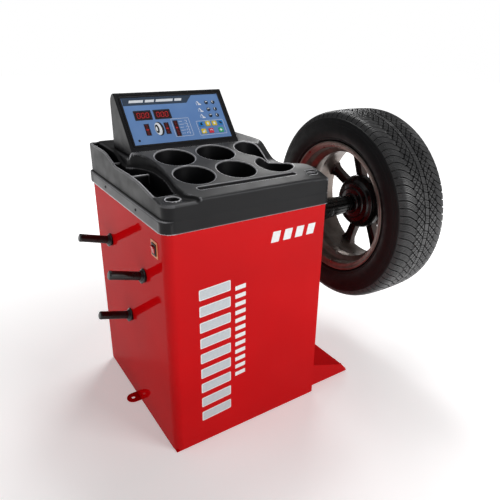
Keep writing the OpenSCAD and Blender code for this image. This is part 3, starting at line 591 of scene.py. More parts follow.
def tray_field(x, y, z):
    """Distance to the tray's surface, below zero inside the plastic."""
    away = 535 - x
    plane = DECK_Z + (y - 10) * SLOPE
    reach = y + 0.9 * away * smooth_step(200, 290, y)
    dip = smooth_table(reach, DIP_EDGE) + 0.15 * away + 0.6 * np.maximum(away - 90, 0)
    deck = soft_min(plane, dip, 12)
    step = smooth_step(SHELF_Y - 3, SHELF_Y + 3, y)
    deck = np.where(y > SHELF_Y - 3, deck * (1 - step) + np.minimum(SHELF_Z, dip) * step, deck)
    top = (z - deck) * 0.97
    corner = np.where((x < 100) & (y < 100), 33.0, 12.0)
    skirt = rounded_box_2d(x, y, -6, -6, 541, 606, corner)
    upper = rounded_box_2d(x, y, 1.5, -6, 541, 606, np.where((x < 100) & (y < 100), 29.0, 12.0))
    low_part = soft_max(skirt, z - 761.5, 5)
    body = soft_min(low_part, soft_max(upper, top, 7), 2.5)
    crest = smooth_table(y, CREST)
    left_zone = (x - crest) * 0.93
    rim_z = smooth_table(y, LEFT_EDGE)
    drop = soft_max(left_zone, rim_z - z, 9)
    body = soft_max(body, -drop, 8)
    inside = soft_max(rounded_box_2d(x, y, 8, 62, 300, 591, 9), (x - crest) * 0.93 + 8 + (z - 800) * -0.10, 8)
    bins = pocket(z, inside, 770)
    front_wall = np.abs(y - 241) - 3.2 + (z - 820) * 0.02
    front_wall = soft_max(soft_max(front_wall, z - 822, 4), x - 66, 6)
    rear_wall = soft_max(soft_max(np.abs(y - 371.5) - 3.5, z - 842, 4), x - 60, 6)
    shelf_block = soft_max(soft_max(x - 100, 45 - x - (y - 250) * 0.12, 5), z - 797, 5)
    shelf_block = soft_max(soft_max(shelf_block, 288 - y, 5), y - 371, 5)
    bins = soft_max(bins, -soft_min(soft_min(front_wall, rear_wall, 3), shelf_block, 4), 4)
    body = soft_max(body, -bins, 4)
    for cx, cy in CUPS:
        cup = pocket(z, np.hypot(x - cx, y - cy) - 58 + (z - 770) * -0.012, 770, 6)
        body = soft_max(body, -cup, 3.5)
    dish = pocket(z, np.hypot(x - 42, y - 33) - 15.5 + (z - 790) * -0.15, 790, 4)
    bead = np.hypot(np.hypot(x - 42, y - 33) - 20, z - 804) - 2.2
    body = soft_min(body, bead, 3)
    body = soft_max(body, -dish, 2.5)
    across = np.maximum(np.maximum(130 - x, x - 440), 0)
    groove = np.hypot(np.hypot(across, y - 47), z - plane - 2.5) - 9.4
    body = soft_max(body, -groove, 2.0)
    for cx, cy in ((500, 30), (510, 50)):
        across = np.maximum(np.abs(x - cx) - 15, 0)
        slot = np.hypot(np.hypot(across, y - cy), z - plane - 1) - 5.2
        body = soft_max(body, -slot, 1.5)
    for cz in (764, 779, 793):
        notch = np.hypot(x - 543, z - cz) - 6.3
        body = soft_max(body, -soft_max(notch, y - 14, 3), 1.5)
    under = np.maximum(rounded_box_2d(x, y, -2, -2, 537, 592, 29.0), z - 751.5)
    body = np.maximum(body, -under)
    return np.maximum(body, 723 - z)


def surface_net(field, low, step):
    """Quads through a grid of distances, one point for each cell that the surface crosses."""
    inside = field < 0
    count = np.zeros(tuple(n - 1 for n in field.shape), np.int8)
    cells = tuple(n - 1 for n in field.shape)
    corners = [(i, j, k) for i in (0, 1) for j in (0, 1) for k in (0, 1)]

    def window_at(grid, corner):
        return grid[tuple(slice(c, c + n) for c, n in zip(corner, cells))]

    for corner in corners:
        count += window_at(inside, corner)
    active = (count > 0) & (count < 8)
    index = np.full(cells, -1)
    index[active] = np.arange(active.sum())
    total = np.zeros((active.sum(), 3))
    hits = np.zeros(active.sum())
    for a in corners:
        for axis in range(3):
            if a[axis]:
                continue
            b = tuple(1 if i == axis else c for i, c in enumerate(a))
            fa, fb = window_at(field, a)[active], window_at(field, b)[active]
            crossed = (fa < 0) != (fb < 0)
            share = np.where(crossed, fa / np.where(crossed, fa - fb, 1), 0)
            point = np.array(a, float) + share[:, None] * (np.array(b) - np.array(a))
            total[crossed] += point[crossed]
            hits[crossed] += 1
    points = (total / hits[:, None] + np.argwhere(active)) * step + low
    quads = []
    for axis in range(3):
        u, v = (axis + 1) % 3, (axis + 2) % 3
        first = [slice(1, -1)] * 3
        first[axis] = slice(0, -1)
        second = list(first)
        second[axis] = slice(1, None)
        here, there = inside[tuple(first)], inside[tuple(second)]
        where = np.argwhere(here != there)
        flipped = here[tuple(where.T)]
        base = where.copy()
        base[:, u] += 1
        base[:, v] += 1
        ring = []
        for du, dv in ((0, 0), (-1, 0), (-1, -1), (0, -1)):
            cell = base.copy()
            cell[:, u] += du
            cell[:, v] += dv
            ring.append(index[tuple(cell.T)])
        quad = np.stack(ring, 1)
        quad[~flipped] = quad[~flipped][:, ::-1]
        quads.append(quad)
    return points, np.concatenate(quads)


def field_slope(points, field, h=0.4):
    """The field's gradient at each point."""
    out = np.zeros_like(points)
    for axis in range(3):
        shift = np.zeros(3)
        shift[axis] = h
        ahead, behind = points + shift, points - shift
        out[:, axis] = (field(*ahead.T) - field(*behind.T)) / (2 * h)
    return out


def build_tray():
    step = 2.7
    low = np.array((-12.0, -12.0, 717.0))
    high = np.array((547.0, 612.0, 880.0))
    axes = [np.arange(low[i], high[i] + step, step) for i in range(3)]
    slabs = []
    for x in axes[0]:
        y, z = np.meshgrid(axes[1], axes[2], indexing="ij")
        slabs.append(tray_field(np.full_like(y, x), y, z))
    points, quads = surface_net(np.stack(slabs), low, step)
    for _ in range(4):
        slope = field_slope(points, tray_field)
        size = np.maximum((slope ** 2).sum(1), 0.25)
        points -= np.clip(tray_field(*points.T) / size, -step / 2, step / 2)[:, None] * slope
    mesh = make_mesh("weight_tray_moulding", points, quads)
    mesh.materials.append(TRAY)
    holder = bpy.data.objects.new("weight_tray_working", mesh)
    bpy.context.scene.collection.objects.link(holder)
    thin = holder.modifiers.new("thin", "DECIMATE")
    thin.ratio = 175000 / (2 * len(quads)) if 2 * len(quads) > 175000 else 1
    made = bpy.data.meshes.new_from_object(holder.evaluated_get(bpy.context.evaluated_depsgraph_get()))
    bpy.data.objects.remove(holder)
    made.name = "weight_tray_moulding"
    count = len(made.vertices)
    flat = np.zeros(count * 3)
    made.vertices.foreach_get("co", flat)
    placed = (flat.reshape(-1, 3) - np.array(CORNER)) / MM
    slope = field_slope(placed, tray_field, 0.8)
    slope /= np.maximum(np.linalg.norm(slope, axis=1), 1e-9)[:, None]
    made.shade_smooth()
    made.normals_split_custom_set_from_vertices([tuple(n) for n in slope])
    # How far the plastic stands proud of its surroundings: rims and corners get a painted highlight through
    # the "edge" attribute.
    proud = sum(tray_field(*(placed + shift).T) for shift in np.array(
        ((2.4, 0, 0), (-2.4, 0, 0), (0, 2.4, 0), (0, -2.4, 0), (0, 0, 2.4), (0, 0, -2.4))))
    rim_highlight = np.clip((proud - 0.55) / 1.3, 0, 1) ** 1.3
    made.attributes.new("edge", "FLOAT", "POINT").data.foreach_set("value", rim_highlight)
    piece("weight_tray_moulding", made, TRAY, "machine", ["weight_tray"], angle=0)


# Cabinet ------------------------------------------------------------------------------------------

def cut(mesh, cutters):
    """The mesh with the cutters' volumes taken out of it."""
    holder = bpy.data.objects.new("cut_working", mesh)
    bpy.context.scene.collection.objects.link(holder)
    others = []
    for cutter in cutters:
        other = bpy.data.objects.new("cutter_working", cutter)
        bpy.context.scene.collection.objects.link(other)
        others.append(other)
        modifier = holder.modifiers.new("cut", "BOOLEAN")
        modifier.object = other
        modifier.solver = "EXACT"
    made = bpy.data.meshes.new_from_object(holder.evaluated_get(bpy.context.evaluated_depsgraph_get()))
    for obj in [holder, *others]:
        bpy.data.objects.remove(obj)
    bm = bmesh.new()
    bm.from_mesh(made)
    bmesh.ops.remove_doubles(bm, verts=bm.verts, dist=1e-6)
    bm.to_mesh(made)
    bm.free()
    return made


def front_decal(u, v, h):
    """X across and Z up on the cabinet's front, pushed out of it towards the viewer."""
    return (u, -h, v)


def slanted_bar(x0, x1, z0, z1, lean):
    return [(x0, z0), (x1, z0 + lean), (x1, z1 + lean), (x0, z1)]


def build_cabinet():
    piece("cabinet_shell_sheet", from_cad("cabinet_shell", 0.7), RED, "machine",
          ["cabinet_shell"], angle=30)
    piece("rear_cover_sheet", from_cad("rear_cover", 0.6), RED, "machine", ["rear_cover"],
          angle=30)
    piece("outrigger_folded", from_cad("outrigger_foot", 1.1), RED, "machine",
          ["outrigger_foot"], angle=30)
    piece("base_pan_sheet", from_cad("base_pan", 0.8), RED, "machine", ["base_pan"], angle=30)
    piece("foot_pads_moulded", from_cad("foot_pads", 1.5, 3), SMALL_RUBBER, "machine",
          ["foot_pads"])
    # The front carries plain slanted bars in place of its lettering.
    edges, fills = [], []
    for i in range(9):
        z = 84 + i * 53
        edges.append(prism("bar_edge", softened(slanted_bar(92, 194, z, z + 34, 7), 4), front_decal, -0.3,
                           0.25, 0.1, 1))
        fills.append(prism("bar_fill", softened(slanted_bar(95, 191, z + 3, z + 31, 7), 3), front_decal,
                           -0.3, 0.45, 0.1, 1))
    for i in range(12):
        z = 206 + i * 27.5
        edges.append(prism("dash", softened(slanted_bar(210, 246, z, z + 14, 3), 2), front_decal, -0.3,
                           0.25, 0.1, 1))
    for i in range(4):
        x = 332 + i * 44
        edges.append(prism("label", softened([(x, 633), (x + 28, 633), (x + 36, 667), (x + 8, 667)], 2),
                           front_decal, -0.3, 0.25, 0.1, 1))
    piece("front_decal_bars", join_meshes("front_decal_bars", edges), DECAL_WHITE, "machine")
    piece("front_decal_fill", join_meshes("front_decal_fill", fills), DECAL_GREY, "machine")


# Console ------------------------------------------------------------------------------------------

FACE_SLOPE = math.radians(51)
FACE_FOOT = (324, 871)
PANEL_AT = Vector((65, 335, 885))
PANEL_U = Vector((1, 0, 0))
PANEL_V = Vector((0, math.cos(FACE_SLOPE), math.sin(FACE_SLOPE)))
PANEL_H = PANEL_U.cross(PANEL_V)


def on_panel(u, v, h):
    """u across the display panel, v up its slope, h out of its face."""
    return tuple(PANEL_AT + PANEL_U * u + PANEL_V * v + PANEL_H * h)


def frame_ring(name, u0, v0, u1, v1, radius, line, low, high, place=on_panel):
    """A rectangular outline drawn as a thin closed band."""
    outer = [(u + (u0 + u1) / 2, v + (v0 + v1) / 2)
             for u, v in rounded_rectangle(u1 - u0, v1 - v0, radius)]
    inner = [(u + (u0 + u1) / 2, v + (v0 + v1) / 2)
             for u, v in rounded_rectangle(u1 - u0 - 2 * line, v1 - v0 - 2 * line, max(radius - line, 0.2))]
    count = len(outer)
    points = [place(u, v, h) for h in (low, high) for ring in (outer, inner) for u, v in ring]
    faces = []
    for i in range(count):
        j = (i + 1) % count
        low_out, low_in, high_out, high_in = 0, count, 2 * count, 3 * count
        faces += [(high_out + i, high_out + j, high_in + j, high_in + i),
                  (low_out + j, low_out + i, low_in + i, low_in + j),
                  (low_out + i, low_out + j, high_out + j, high_out + i),
                  (low_in + j, low_in + i, high_in + i, high_in + j)]
    mesh = make_mesh(name, points, faces)
    clean(mesh)
    return mesh


def flat(name, outline, low=-0.25, high=0.12, place=on_panel):
    return prism(name, outline, place, low, high)


def boxed(u0, v0, u1, v1, radius=0.4):
    return [(u + (u0 + u1) / 2, v + (v0 + v1) / 2)
            for u, v in rounded_rectangle(u1 - u0, v1 - v0, radius, 3)]


def arc_band(cx, cy, radius, thick, start, end, steps=14):
    """A part of a ring between two angles in degrees, tapering to its end."""
    outer, inner = [], []
    for i in range(steps + 1):
        t = i / steps
        a = math.radians(start + (end - start) * t)
        half = thick / 2 * (1 - 0.75 * t)
        outer.append((cx + (radius + half) * math.cos(a), cy + (radius + half) * math.sin(a)))
        inner.append((cx + (radius - half) * math.cos(a), cy + (radius - half) * math.sin(a)))
    return outer + inner[::-1]


def build_console():
    top = (FACE_FOOT[0] + 197 * math.cos(FACE_SLOPE), FACE_FOOT[1] + 197 * math.sin(FACE_SLOPE))
    back, radius = 484, 34
    arc = [(back - radius + radius * math.cos(math.radians(a)),
            top[1] - radius + radius * math.sin(math.radians(a)) + 1) for a in range(90, -1, -6)]
    outline = [(321, 856), FACE_FOOT, top] + arc + [(back, 856)]
    housing = prism("console_case", outline, along_x, 47, 418, 2.2, 4)
    pocket_box = prism("panel_pocket", boxed(-0.3, -0.3, 333.3, 163.3, 2), on_panel, -7.5, 12)
    face_dip = prism("face_dip", boxed(-9, -7, 342, 172, 3), on_panel, -1.2, 12)
    housing = cut(housing, [face_dip, pocket_box])
    bevel_edges(housing, 0.5, 2, 40)
    piece("console_case", housing, CONSOLE, "machine", ["console_housing"], angle=30)
    bezel = frame_ring("console_bezel", -5.5, -4.5, 338.5, 167.5, 4, 5.2, -3.0, 0.9)
    bevel_edges(bezel, 0.5, 2)
    piece("console_bezel", bezel, BLACK_PLASTIC, "machine", angle=30)
    piece("membrane_sheet", from_cad("control_panel", 0), MEMBRANE, "machine",
          ["control_panel"], angle=30)

    slate = [flat("header", [(1, 135), (212, 135), (237, 162), (1, 162)])]
    white, black = [], []
    for i, (u, width) in enumerate(((20, 46), (72, 30), (108, 58), (172, 24))):
        bar = [(u, 144), (u + width, 144), (u + width + 4, 153), (u + 4, 153)]
        white.append(flat("header_bar_%d" % i, bar, 0.0, 0.2))
    for u in (28, 92):
        black.append(frame_ring("window_edge", u - 3.5, 82.5, u + 53.5, 116.5, 2, 3.4, -0.25, 0.14))
    for u, v, wide, high in ((47, 31, 13, 37), (112, 31, 13, 37), (144, 20, 13, 53)):
        black.append(frame_ring("column_edge", u - 1.8, v - 1.8, u + wide + 1.8, v + high + 1.8, 1, 1.7,
                                -0.25, 0.14))
    for paint, cx, rx, ry, low, high in ((black, 92, 15, 24, -0.25, 0.12), (white, 88.5, 11.5, 21.5, 0, 0.2),
                                         (black, 84.5, 6.5, 15, 0.1, 0.26), (white, 82.8, 3, 8, 0.2, 0.32)):
        ellipse = [(cx + rx * x, 50 + ry * y) for x, y in circle_points(1, 36)]
        paint.append(flat("wheel_mark", ellipse, low, high))
    white.append(frame_ring("position_box", 138, 17, 200, 81, 3, 1.0, -0.25, 0.12))
    white.append(frame_ring("keys_box", 222, 14, 321, 66, 3, 1.0, -0.25, 0.12))
    for row in range(5):
        v = 27 + row * 10.5
        white.append(flat("row_line", boxed(162, v, 174 + (row % 2) * 4, v + 1.1, 0.3)))
        white.append(flat("row_mark", arc_band(184 + (row % 3) * 2, v, 4, 1.5, 200 - row * 20, -20)))
        white.append(flat("row_tick", boxed(189, v - 3, 190.4, v + 4, 0.3)))
    for i, v in enumerate((132, 106, 83)):
        white.append(flat("dimension_icon_%d" % i, [(248, v + 6), (252, v + 7), (256, v - 2), (262, v - 5),
                                                    (262, v - 8), (250, v - 8), (253, v - 3)]))
        white.append(flat("dimension_line_%d" % i, boxed(245, v - 8 + i, 246.4, v + 2 + i, 0.4)))
    black.append(flat("corner_mark", circle_points(4, 20, 17, 15), -0.25, 0.02))
    piece("membrane_print_slate", join_meshes("slate", slate), SLATE, "machine", angle=30)
    piece("membrane_print_white", join_meshes("white", white), WHITE, "machine", angle=30)
    piece("membrane_print_black", join_meshes("black", black), BLACK_INK, "machine", angle=30)
    build_lamps()
    build_keys()


SEGMENTS = {"a": (0.5, 1.0, False), "b": (1.0, 0.75, True), "c": (1.0, 0.25, True), "d": (0.5, 0.0, False),
            "e": (0.0, 0.25, True), "f": (0.0, 0.75, True), "g": (0.5, 0.5, False)}


def build_lamps():
    """Three digits behind each window, all showing the same resting figure, and the columns of lamps."""
    lit, dim = [], []
    wide, tall, line = 9.2, 16.5, 1.9
    for u0 in (28, 92):
        for place in range(3):
            left, low = u0 + 6.5 + place * 14, 91.2
            for key, (across, up, upright) in SEGMENTS.items():
                u = left + across * wide + (up - 0.5) * 1.6
                v = low + up * tall
                if upright:
                    shape = [(u - line / 2, v - tall / 4 + 1), (u, v - tall / 4 + 0.2),
                             (u + line / 2, v - tall / 4 + 1), (u + line / 2, v + tall / 4 - 1),
                             (u, v + tall / 4 - 0.2), (u - line / 2, v + tall / 4 - 1)]
                else:
                    shape = [(u - wide / 2 + 0.6, v), (u - wide / 2 + 1.5, v - line / 2),
                             (u + wide / 2 - 1.5, v - line / 2), (u + wide / 2 - 0.6, v),
                             (u + wide / 2 - 1.5, v + line / 2), (u - wide / 2 + 1.5, v + line / 2)]
                part = flat("segment", shape, -0.5, -0.28)
                (dim if key == "g" else lit).append(part)
            dim.append(flat("point", circle_points(0.9, 12, left + wide + 2.4, low - 0.4), -0.5, -0.28))
    for u, v, rows in ((47, 31, 7), (112, 31, 7), (144, 20, 10)):
        for row in range(rows):
            part = flat("lamp", boxed(u + 2.6, v + 1.6 + row * 5.1, u + 10.4, v + 5.2 + row * 5.1, 0.5),
                        -0.5, -0.28)
            (lit if row == rows // 2 else dim).append(part)
    piece("lamps_lit", join_meshes("lit", lit), LED, "machine", angle=30)
    piece("lamps_dim", join_meshes("dim", dim), LED_DARK, "machine", angle=30)
    piece("display_windows", from_cad("weight_displays", 0.3), WINDOW, "machine",
          ["weight_displays"])
    piece("lamp_windows", from_cad("position_lights", 0.3), WINDOW, "machine",
          ["position_lights"])


ROUND_KEYS = (("distance_down_key", 283, 132), ("distance_up_key", 308, 132), ("width_down_key", 283, 106),
              ("width_up_key", 308, 106), ("diameter_down_key", 283, 83), ("diameter_up_key", 308, 83))
SQUARE_KEYS = (("mode_key", 238, 54, "blue_key_plastic"), ("fine_key", 262, 54, "yellow_key_plastic"),
               ("split_key", 286, 54, "yellow_key_plastic"), ("units_key", 309, 54, "blue_key_plastic"),
               ("calibrate_key", 239, 28, "yellow_key_plastic"), ("stop_key", 266, 28, "red_key_plastic"),
               ("start_key", 302, 28, "green_key_plastic"))


def domed_disc(name, u, v, radius, low, high, rise):
    """A round key cap with a slightly domed top."""
    rows = [(0.0, high + rise), (0.45, high + rise * 0.8), (0.8, high + rise * 0.3), (0.94, high - 0.1),
            (1.0, high - 0.5), (1.0, low), (0.0, low)]
    points, faces, count = [], [], 40
    for share, h in rows:
        points += [on_panel(u + radius * share * math.cos(2 * math.pi * i / count),
                            v + radius * share * math.sin(2 * math.pi * i / count), h)
                   for i in range(count)]
    for row in range(len(rows) - 1):
        for i in range(count):
            j = (i + 1) % count
            faces.append((row * count + i, (row + 1) * count + i, (row + 1) * count + j, row * count + j))
    mesh = make_mesh(name, points, faces)
    clean(mesh)
    return mesh


def build_keys():
    for name, u, v in ROUND_KEYS:
        cap = domed_disc(name + "_cap", u, v, 6.5, -4.5, 0.85, 0.15)
        piece(name + "_cap", cap, KEY_PAINTS["round_key_plastic"], name, [name])
        lift = 60 if "up" in name else 0
        mark = flat(name + "_mark", arc_band(u, v, 3.4, 3.4, 30 + lift, 200 + lift), 0.7, 1.08)
        piece(name + "_mark", mark, WHITE, name, angle=30)
    icons = {"mode_key": (BLACK_INK, [[(-5, 1), (-1, 5), (5, 5), (2, 1), (6, -4), (-3, -5)]]),
             "fine_key": (WHITE, [boxed(-3.2, -4, 3.2, 4, 1)]),
             "split_key": (WHITE, [boxed(-3.2, -4, 3.2, 4, 1)]),
             "units_key": (BLACK_INK, [[(-5, 4), (1, 5), (5, 1), (5, -5), (-1, -4), (-4, 0)]]),
             "calibrate_key": (WHITE, [[(-4, -5), (2, -5), (5, 2), (4, 5), (-1, 1), (-5, 1)]]),
             "stop_key": (WHITE, [arc_band(0, -1, 4.6, 2.6, 10, 190)]),
             "start_key": (WHITE, [[(-5, 0), (0, 5), (5, 0), (0, -5)]])}
    for name, u, v, slot in SQUARE_KEYS:
        wide = 17
        cap = prism(name + "_cap", boxed(u - wide / 2, v - wide / 2, u + wide / 2, v + wide / 2, 2.4),
                    on_panel, -4.5, 1.0, 0.45, 3)
        piece(name + "_cap", cap, KEY_PAINTS[slot], name, [name], angle=30)
        paint, shapes = icons[name]
        marks = [flat(name + "_mark", [(u + a, v + b) for a, b in shape], 0.7, 1.08) for shape in shapes]
        piece(name + "_mark", join_meshes(name + "_mark", marks), paint, name, angle=30)


# Left side: power switch and hanger pegs ----------------------------------------------------------

def on_side(u, v, h):
    """u towards the back, v up, h out of the cabinet's left side; the origin is the switch's centre."""
    return (-h, 71 + u, 662 + v)


def build_switch():
    plate = frame_ring("switch_plate", -22, -24, 22, 24, 3, 7.7, 0.02, 1.5, on_side)
    bevel_edges(plate, 0.4, 2)
    piece("switch_plate", plate, ORANGE, "machine", angle=30)
    frame_part = frame_ring("switch_frame", -14.2, -17.2, 14.2, 17.2, 2, 5.1, -22, 4, on_side)
    bevel_edges(frame_part, 0.6, 2)
    piece("switch_frame", frame_part, BLACK_PLASTIC, "machine", ["power_switch_body"],
          angle=30)
    profile = [(2, -4), (2, 4), (-3, 10.4), (-10, 10.4), (-6.2, 0), (-6.4, -10.4), (-3, -10.4)]
    curve = softened(profile, 2.0, 3)
    count = len(curve)
    points = [(x, 71 + y, 662 + z) for y in (-8.6, 8.6) for x, z in curve]
    faces = [tuple(range(count)), tuple(range(count, 2 * count))[::-1]]
    faces += [((i + 1) % count, i, count + i, count + (i + 1) % count) for i in range(count)]
    rocker = make_mesh("power_switch_cap", points, faces)
    clean(rocker)
    bevel_edges(rocker, 0.5, 2, 40)
    piece("power_switch_cap", rocker, SWITCH_RED, "switch_rocker", ["power_switch_rocker"],
          angle=30)
    mark = [(-6.5 - z * 0.3 + depth, 71 + y, 662 + z) for depth in (0, 0.8)
            for y, z in ((-1, 4.0), (1, 4.0), (1, 8.0), (-1, 8.0))]
    tick = make_mesh("power_switch_tick", mark,
                     [(0, 1, 2, 3), (7, 6, 5, 4), (0, 4, 5, 1), (1, 5, 6, 2), (2, 6, 7, 3), (3, 7, 4, 0)])
    clean(tick)
    piece("power_switch_tick", tick, WHITE, "switch_rocker", angle=30)


PEG_TILT = math.radians(16)
PEGS = (("upper_peg_grip", 455, 553), ("middle_peg_grip", 166, 541), ("lower_peg_grip", 316, 335))


def build_pegs():
    """Rubber grips: a mushroom flange against the panel, a collar, then a sleeve with shallow rings."""
    along = Vector((-math.cos(PEG_TILT), 0, math.sin(PEG_TILT))).normalized()
    profile = [(1, 7.2), (1, 15), (3.2, 18.2), (4.6, 21), (6.2, 22.4), (7.8, 22.2), (9, 20.6), (9.8, 18),
               (10.4, 16.6), (12.8, 16.4), (14.2, 15.4), (15, 13.2)]
    for i in range(5):
        start = 24 + i * 4.2
        profile += [(start, 13.0), (start + 0.5, 12.5), (start + 1.5, 12.5), (start + 2.0, 13.0)]
    profile += [(60, 12.9), (98, 12.95), (100, 13.25), (103.5, 13.2), (105.6, 12.3), (106.6, 10.4), (107, 8),
                (107, 0.0), (99, 0.0), (99, 7.2)]
    for name, y, z in PEGS:
        root = Vector((0, y, z))
        grip = turned(name + "_sleeve", profile, root, along)
        boot = turned("boot", [(-7, 8), (-7, 16.2), (-4, 18.4), (2, 19.4), (4, 17), (4, 8)], root, along)
        panel_cut = prism("panel_cut", boxed(y - 40, z - 40, y + 40, z + 40, 2), along_x, -0.05, 40)
        boot = cut(boot, [panel_cut])
        piece(name + "_sleeve", grip, GRIP, "machine", [name])
        piece(name + "_boot", boot, GRIP, "machine")


# Fixings repeated with one node tree ---------------------------------------------------------------

def repeat_tree(name, material):
    """A node tree that puts a copy of the geometry on each point of a mesh, turned as each point says."""
    tree = bpy.data.node_groups.new(name, "GeometryNodeTree")
    tree.interface.new_socket("Geometry", in_out="INPUT", socket_type="NodeSocketGeometry")
    tree.interface.new_socket("Fixing", in_out="INPUT", socket_type="NodeSocketObject")
    tree.interface.new_socket("Geometry", in_out="OUTPUT", socket_type="NodeSocketGeometry")
    entry = add(tree, "NodeGroupInput")
    source = add(tree, "GeometryNodeObjectInfo", {"Object": entry.outputs["Fixing"]})
    turn = add(tree, "GeometryNodeInputNamedAttribute", {"Name": "turn"}, data_type="FLOAT_VECTOR")
    copies = add(tree, "GeometryNodeInstanceOnPoints", {
        "Points": entry.outputs["Geometry"], "Instance": source.outputs["Geometry"],
        "Rotation": turn.outputs["Attribute"]})
    real = add(tree, "GeometryNodeRealizeInstances", {"Geometry": copies.outputs["Instances"]})
    painted = add(tree, "GeometryNodeSetMaterial", {"Geometry": real.outputs["Geometry"],
                                                    "Material": material})
    add(tree, "NodeGroupOutput", {"Geometry": painted.outputs["Geometry"]})
    return tree


def repeated(name, fixing, places, material):
    """One mesh with a copy of fixing, a mesh about its own origin, at each (point, turn) of places."""
    source = bpy.data.objects.new(name + "_source", fixing)
    bpy.context.scene.collection.objects.link(source)
    cloud = bpy.data.meshes.new(name + "_points")
    cloud.from_pydata([tuple(point) for point, _ in places], [], [])
    turn = cloud.attributes.new("turn", "FLOAT_VECTOR", "POINT")
    turn.data.foreach_set("vector", [c for _, t in places for c in t])
    holder = bpy.data.objects.new(name + "_working", cloud)
    bpy.context.scene.collection.objects.link(holder)
    tree = repeat_tree(name + "_tree", material)
    modifier = holder.modifiers.new("repeat", "NODES")
    modifier.node_group = tree
    socket = next(i.identifier for i in tree.interface.items_tree
                  if i.in_out == "INPUT" and i.name == "Fixing")
    modifier[socket] = source
    made = bpy.data.meshes.new_from_object(holder.evaluated_get(bpy.context.evaluated_depsgraph_get()))
    bpy.data.objects.remove(holder)
    bpy.data.objects.remove(source)
    made.name = name
    return made


def pan_head(radius, height, reach):
    """A pan-headed screw with a socket in its head, about the frame's own origin."""
    profile = [(-reach, 0.0), (-reach, 2.0), (0, 2.0), (0, radius), (height * 0.35, radius)]
    profile += [(height * (0.35 + 0.65 * math.sin(math.radians(a))),
                 radius * (0.45 + 0.55 * math.cos(math.radians(a)))) for a in (20, 45, 70, 90)]
    profile += [(height * 0.98, radius * 0.4), (height * 0.35, radius * 0.34), (height * 0.3, 0.0)]
    screw = revolved("screw", profile, lambda h, r, a: (r * math.cos(a), r * math.sin(a), h), 24)
    screw.transform(Matrix.Translation(-CORNER))
    return screw


def build_fixings():
    half = math.pi / 2
    left, right, rear = (0, -half, 0), (0, half, 0), (-half, 0, 0)
    places = [(at(-6, y, 742), left) for y in (180, 440)] + [(at(541, y, 742), right) for y in (180, 440)]
    piece("tray_screws_pan", repeated("tray_screws_pan", pan_head(4.2, 2.0, 10), places, BLACKENED),
          None, "machine", ["tray_screws"])
    places = [(at(x, 590, z), rear) for x in (12, BODY_W - 12) for z in (60, 370, 690)]
    piece("rear_cover_screws_pan", repeated("rear_screws_pan", pan_head(4.5, 2.4, 9), places, ZINC),
          None, "machine", ["rear_cover_screws"])
    places = [(at(x, 484, 876), rear) for x in (67, 398)]
    piece("console_screws_pan", repeated("console_screws_pan", pan_head(4.2, 2.2, 8), places, ZINC),
          None, "machine", ["console_screws"])
    piece("outrigger_bolts_hex", from_cad("outrigger_bolts", 0.5), ZINC, "machine",
          ["outrigger_bolts"])


# Spindle and clamp ---------------------------------------------------------------------------------

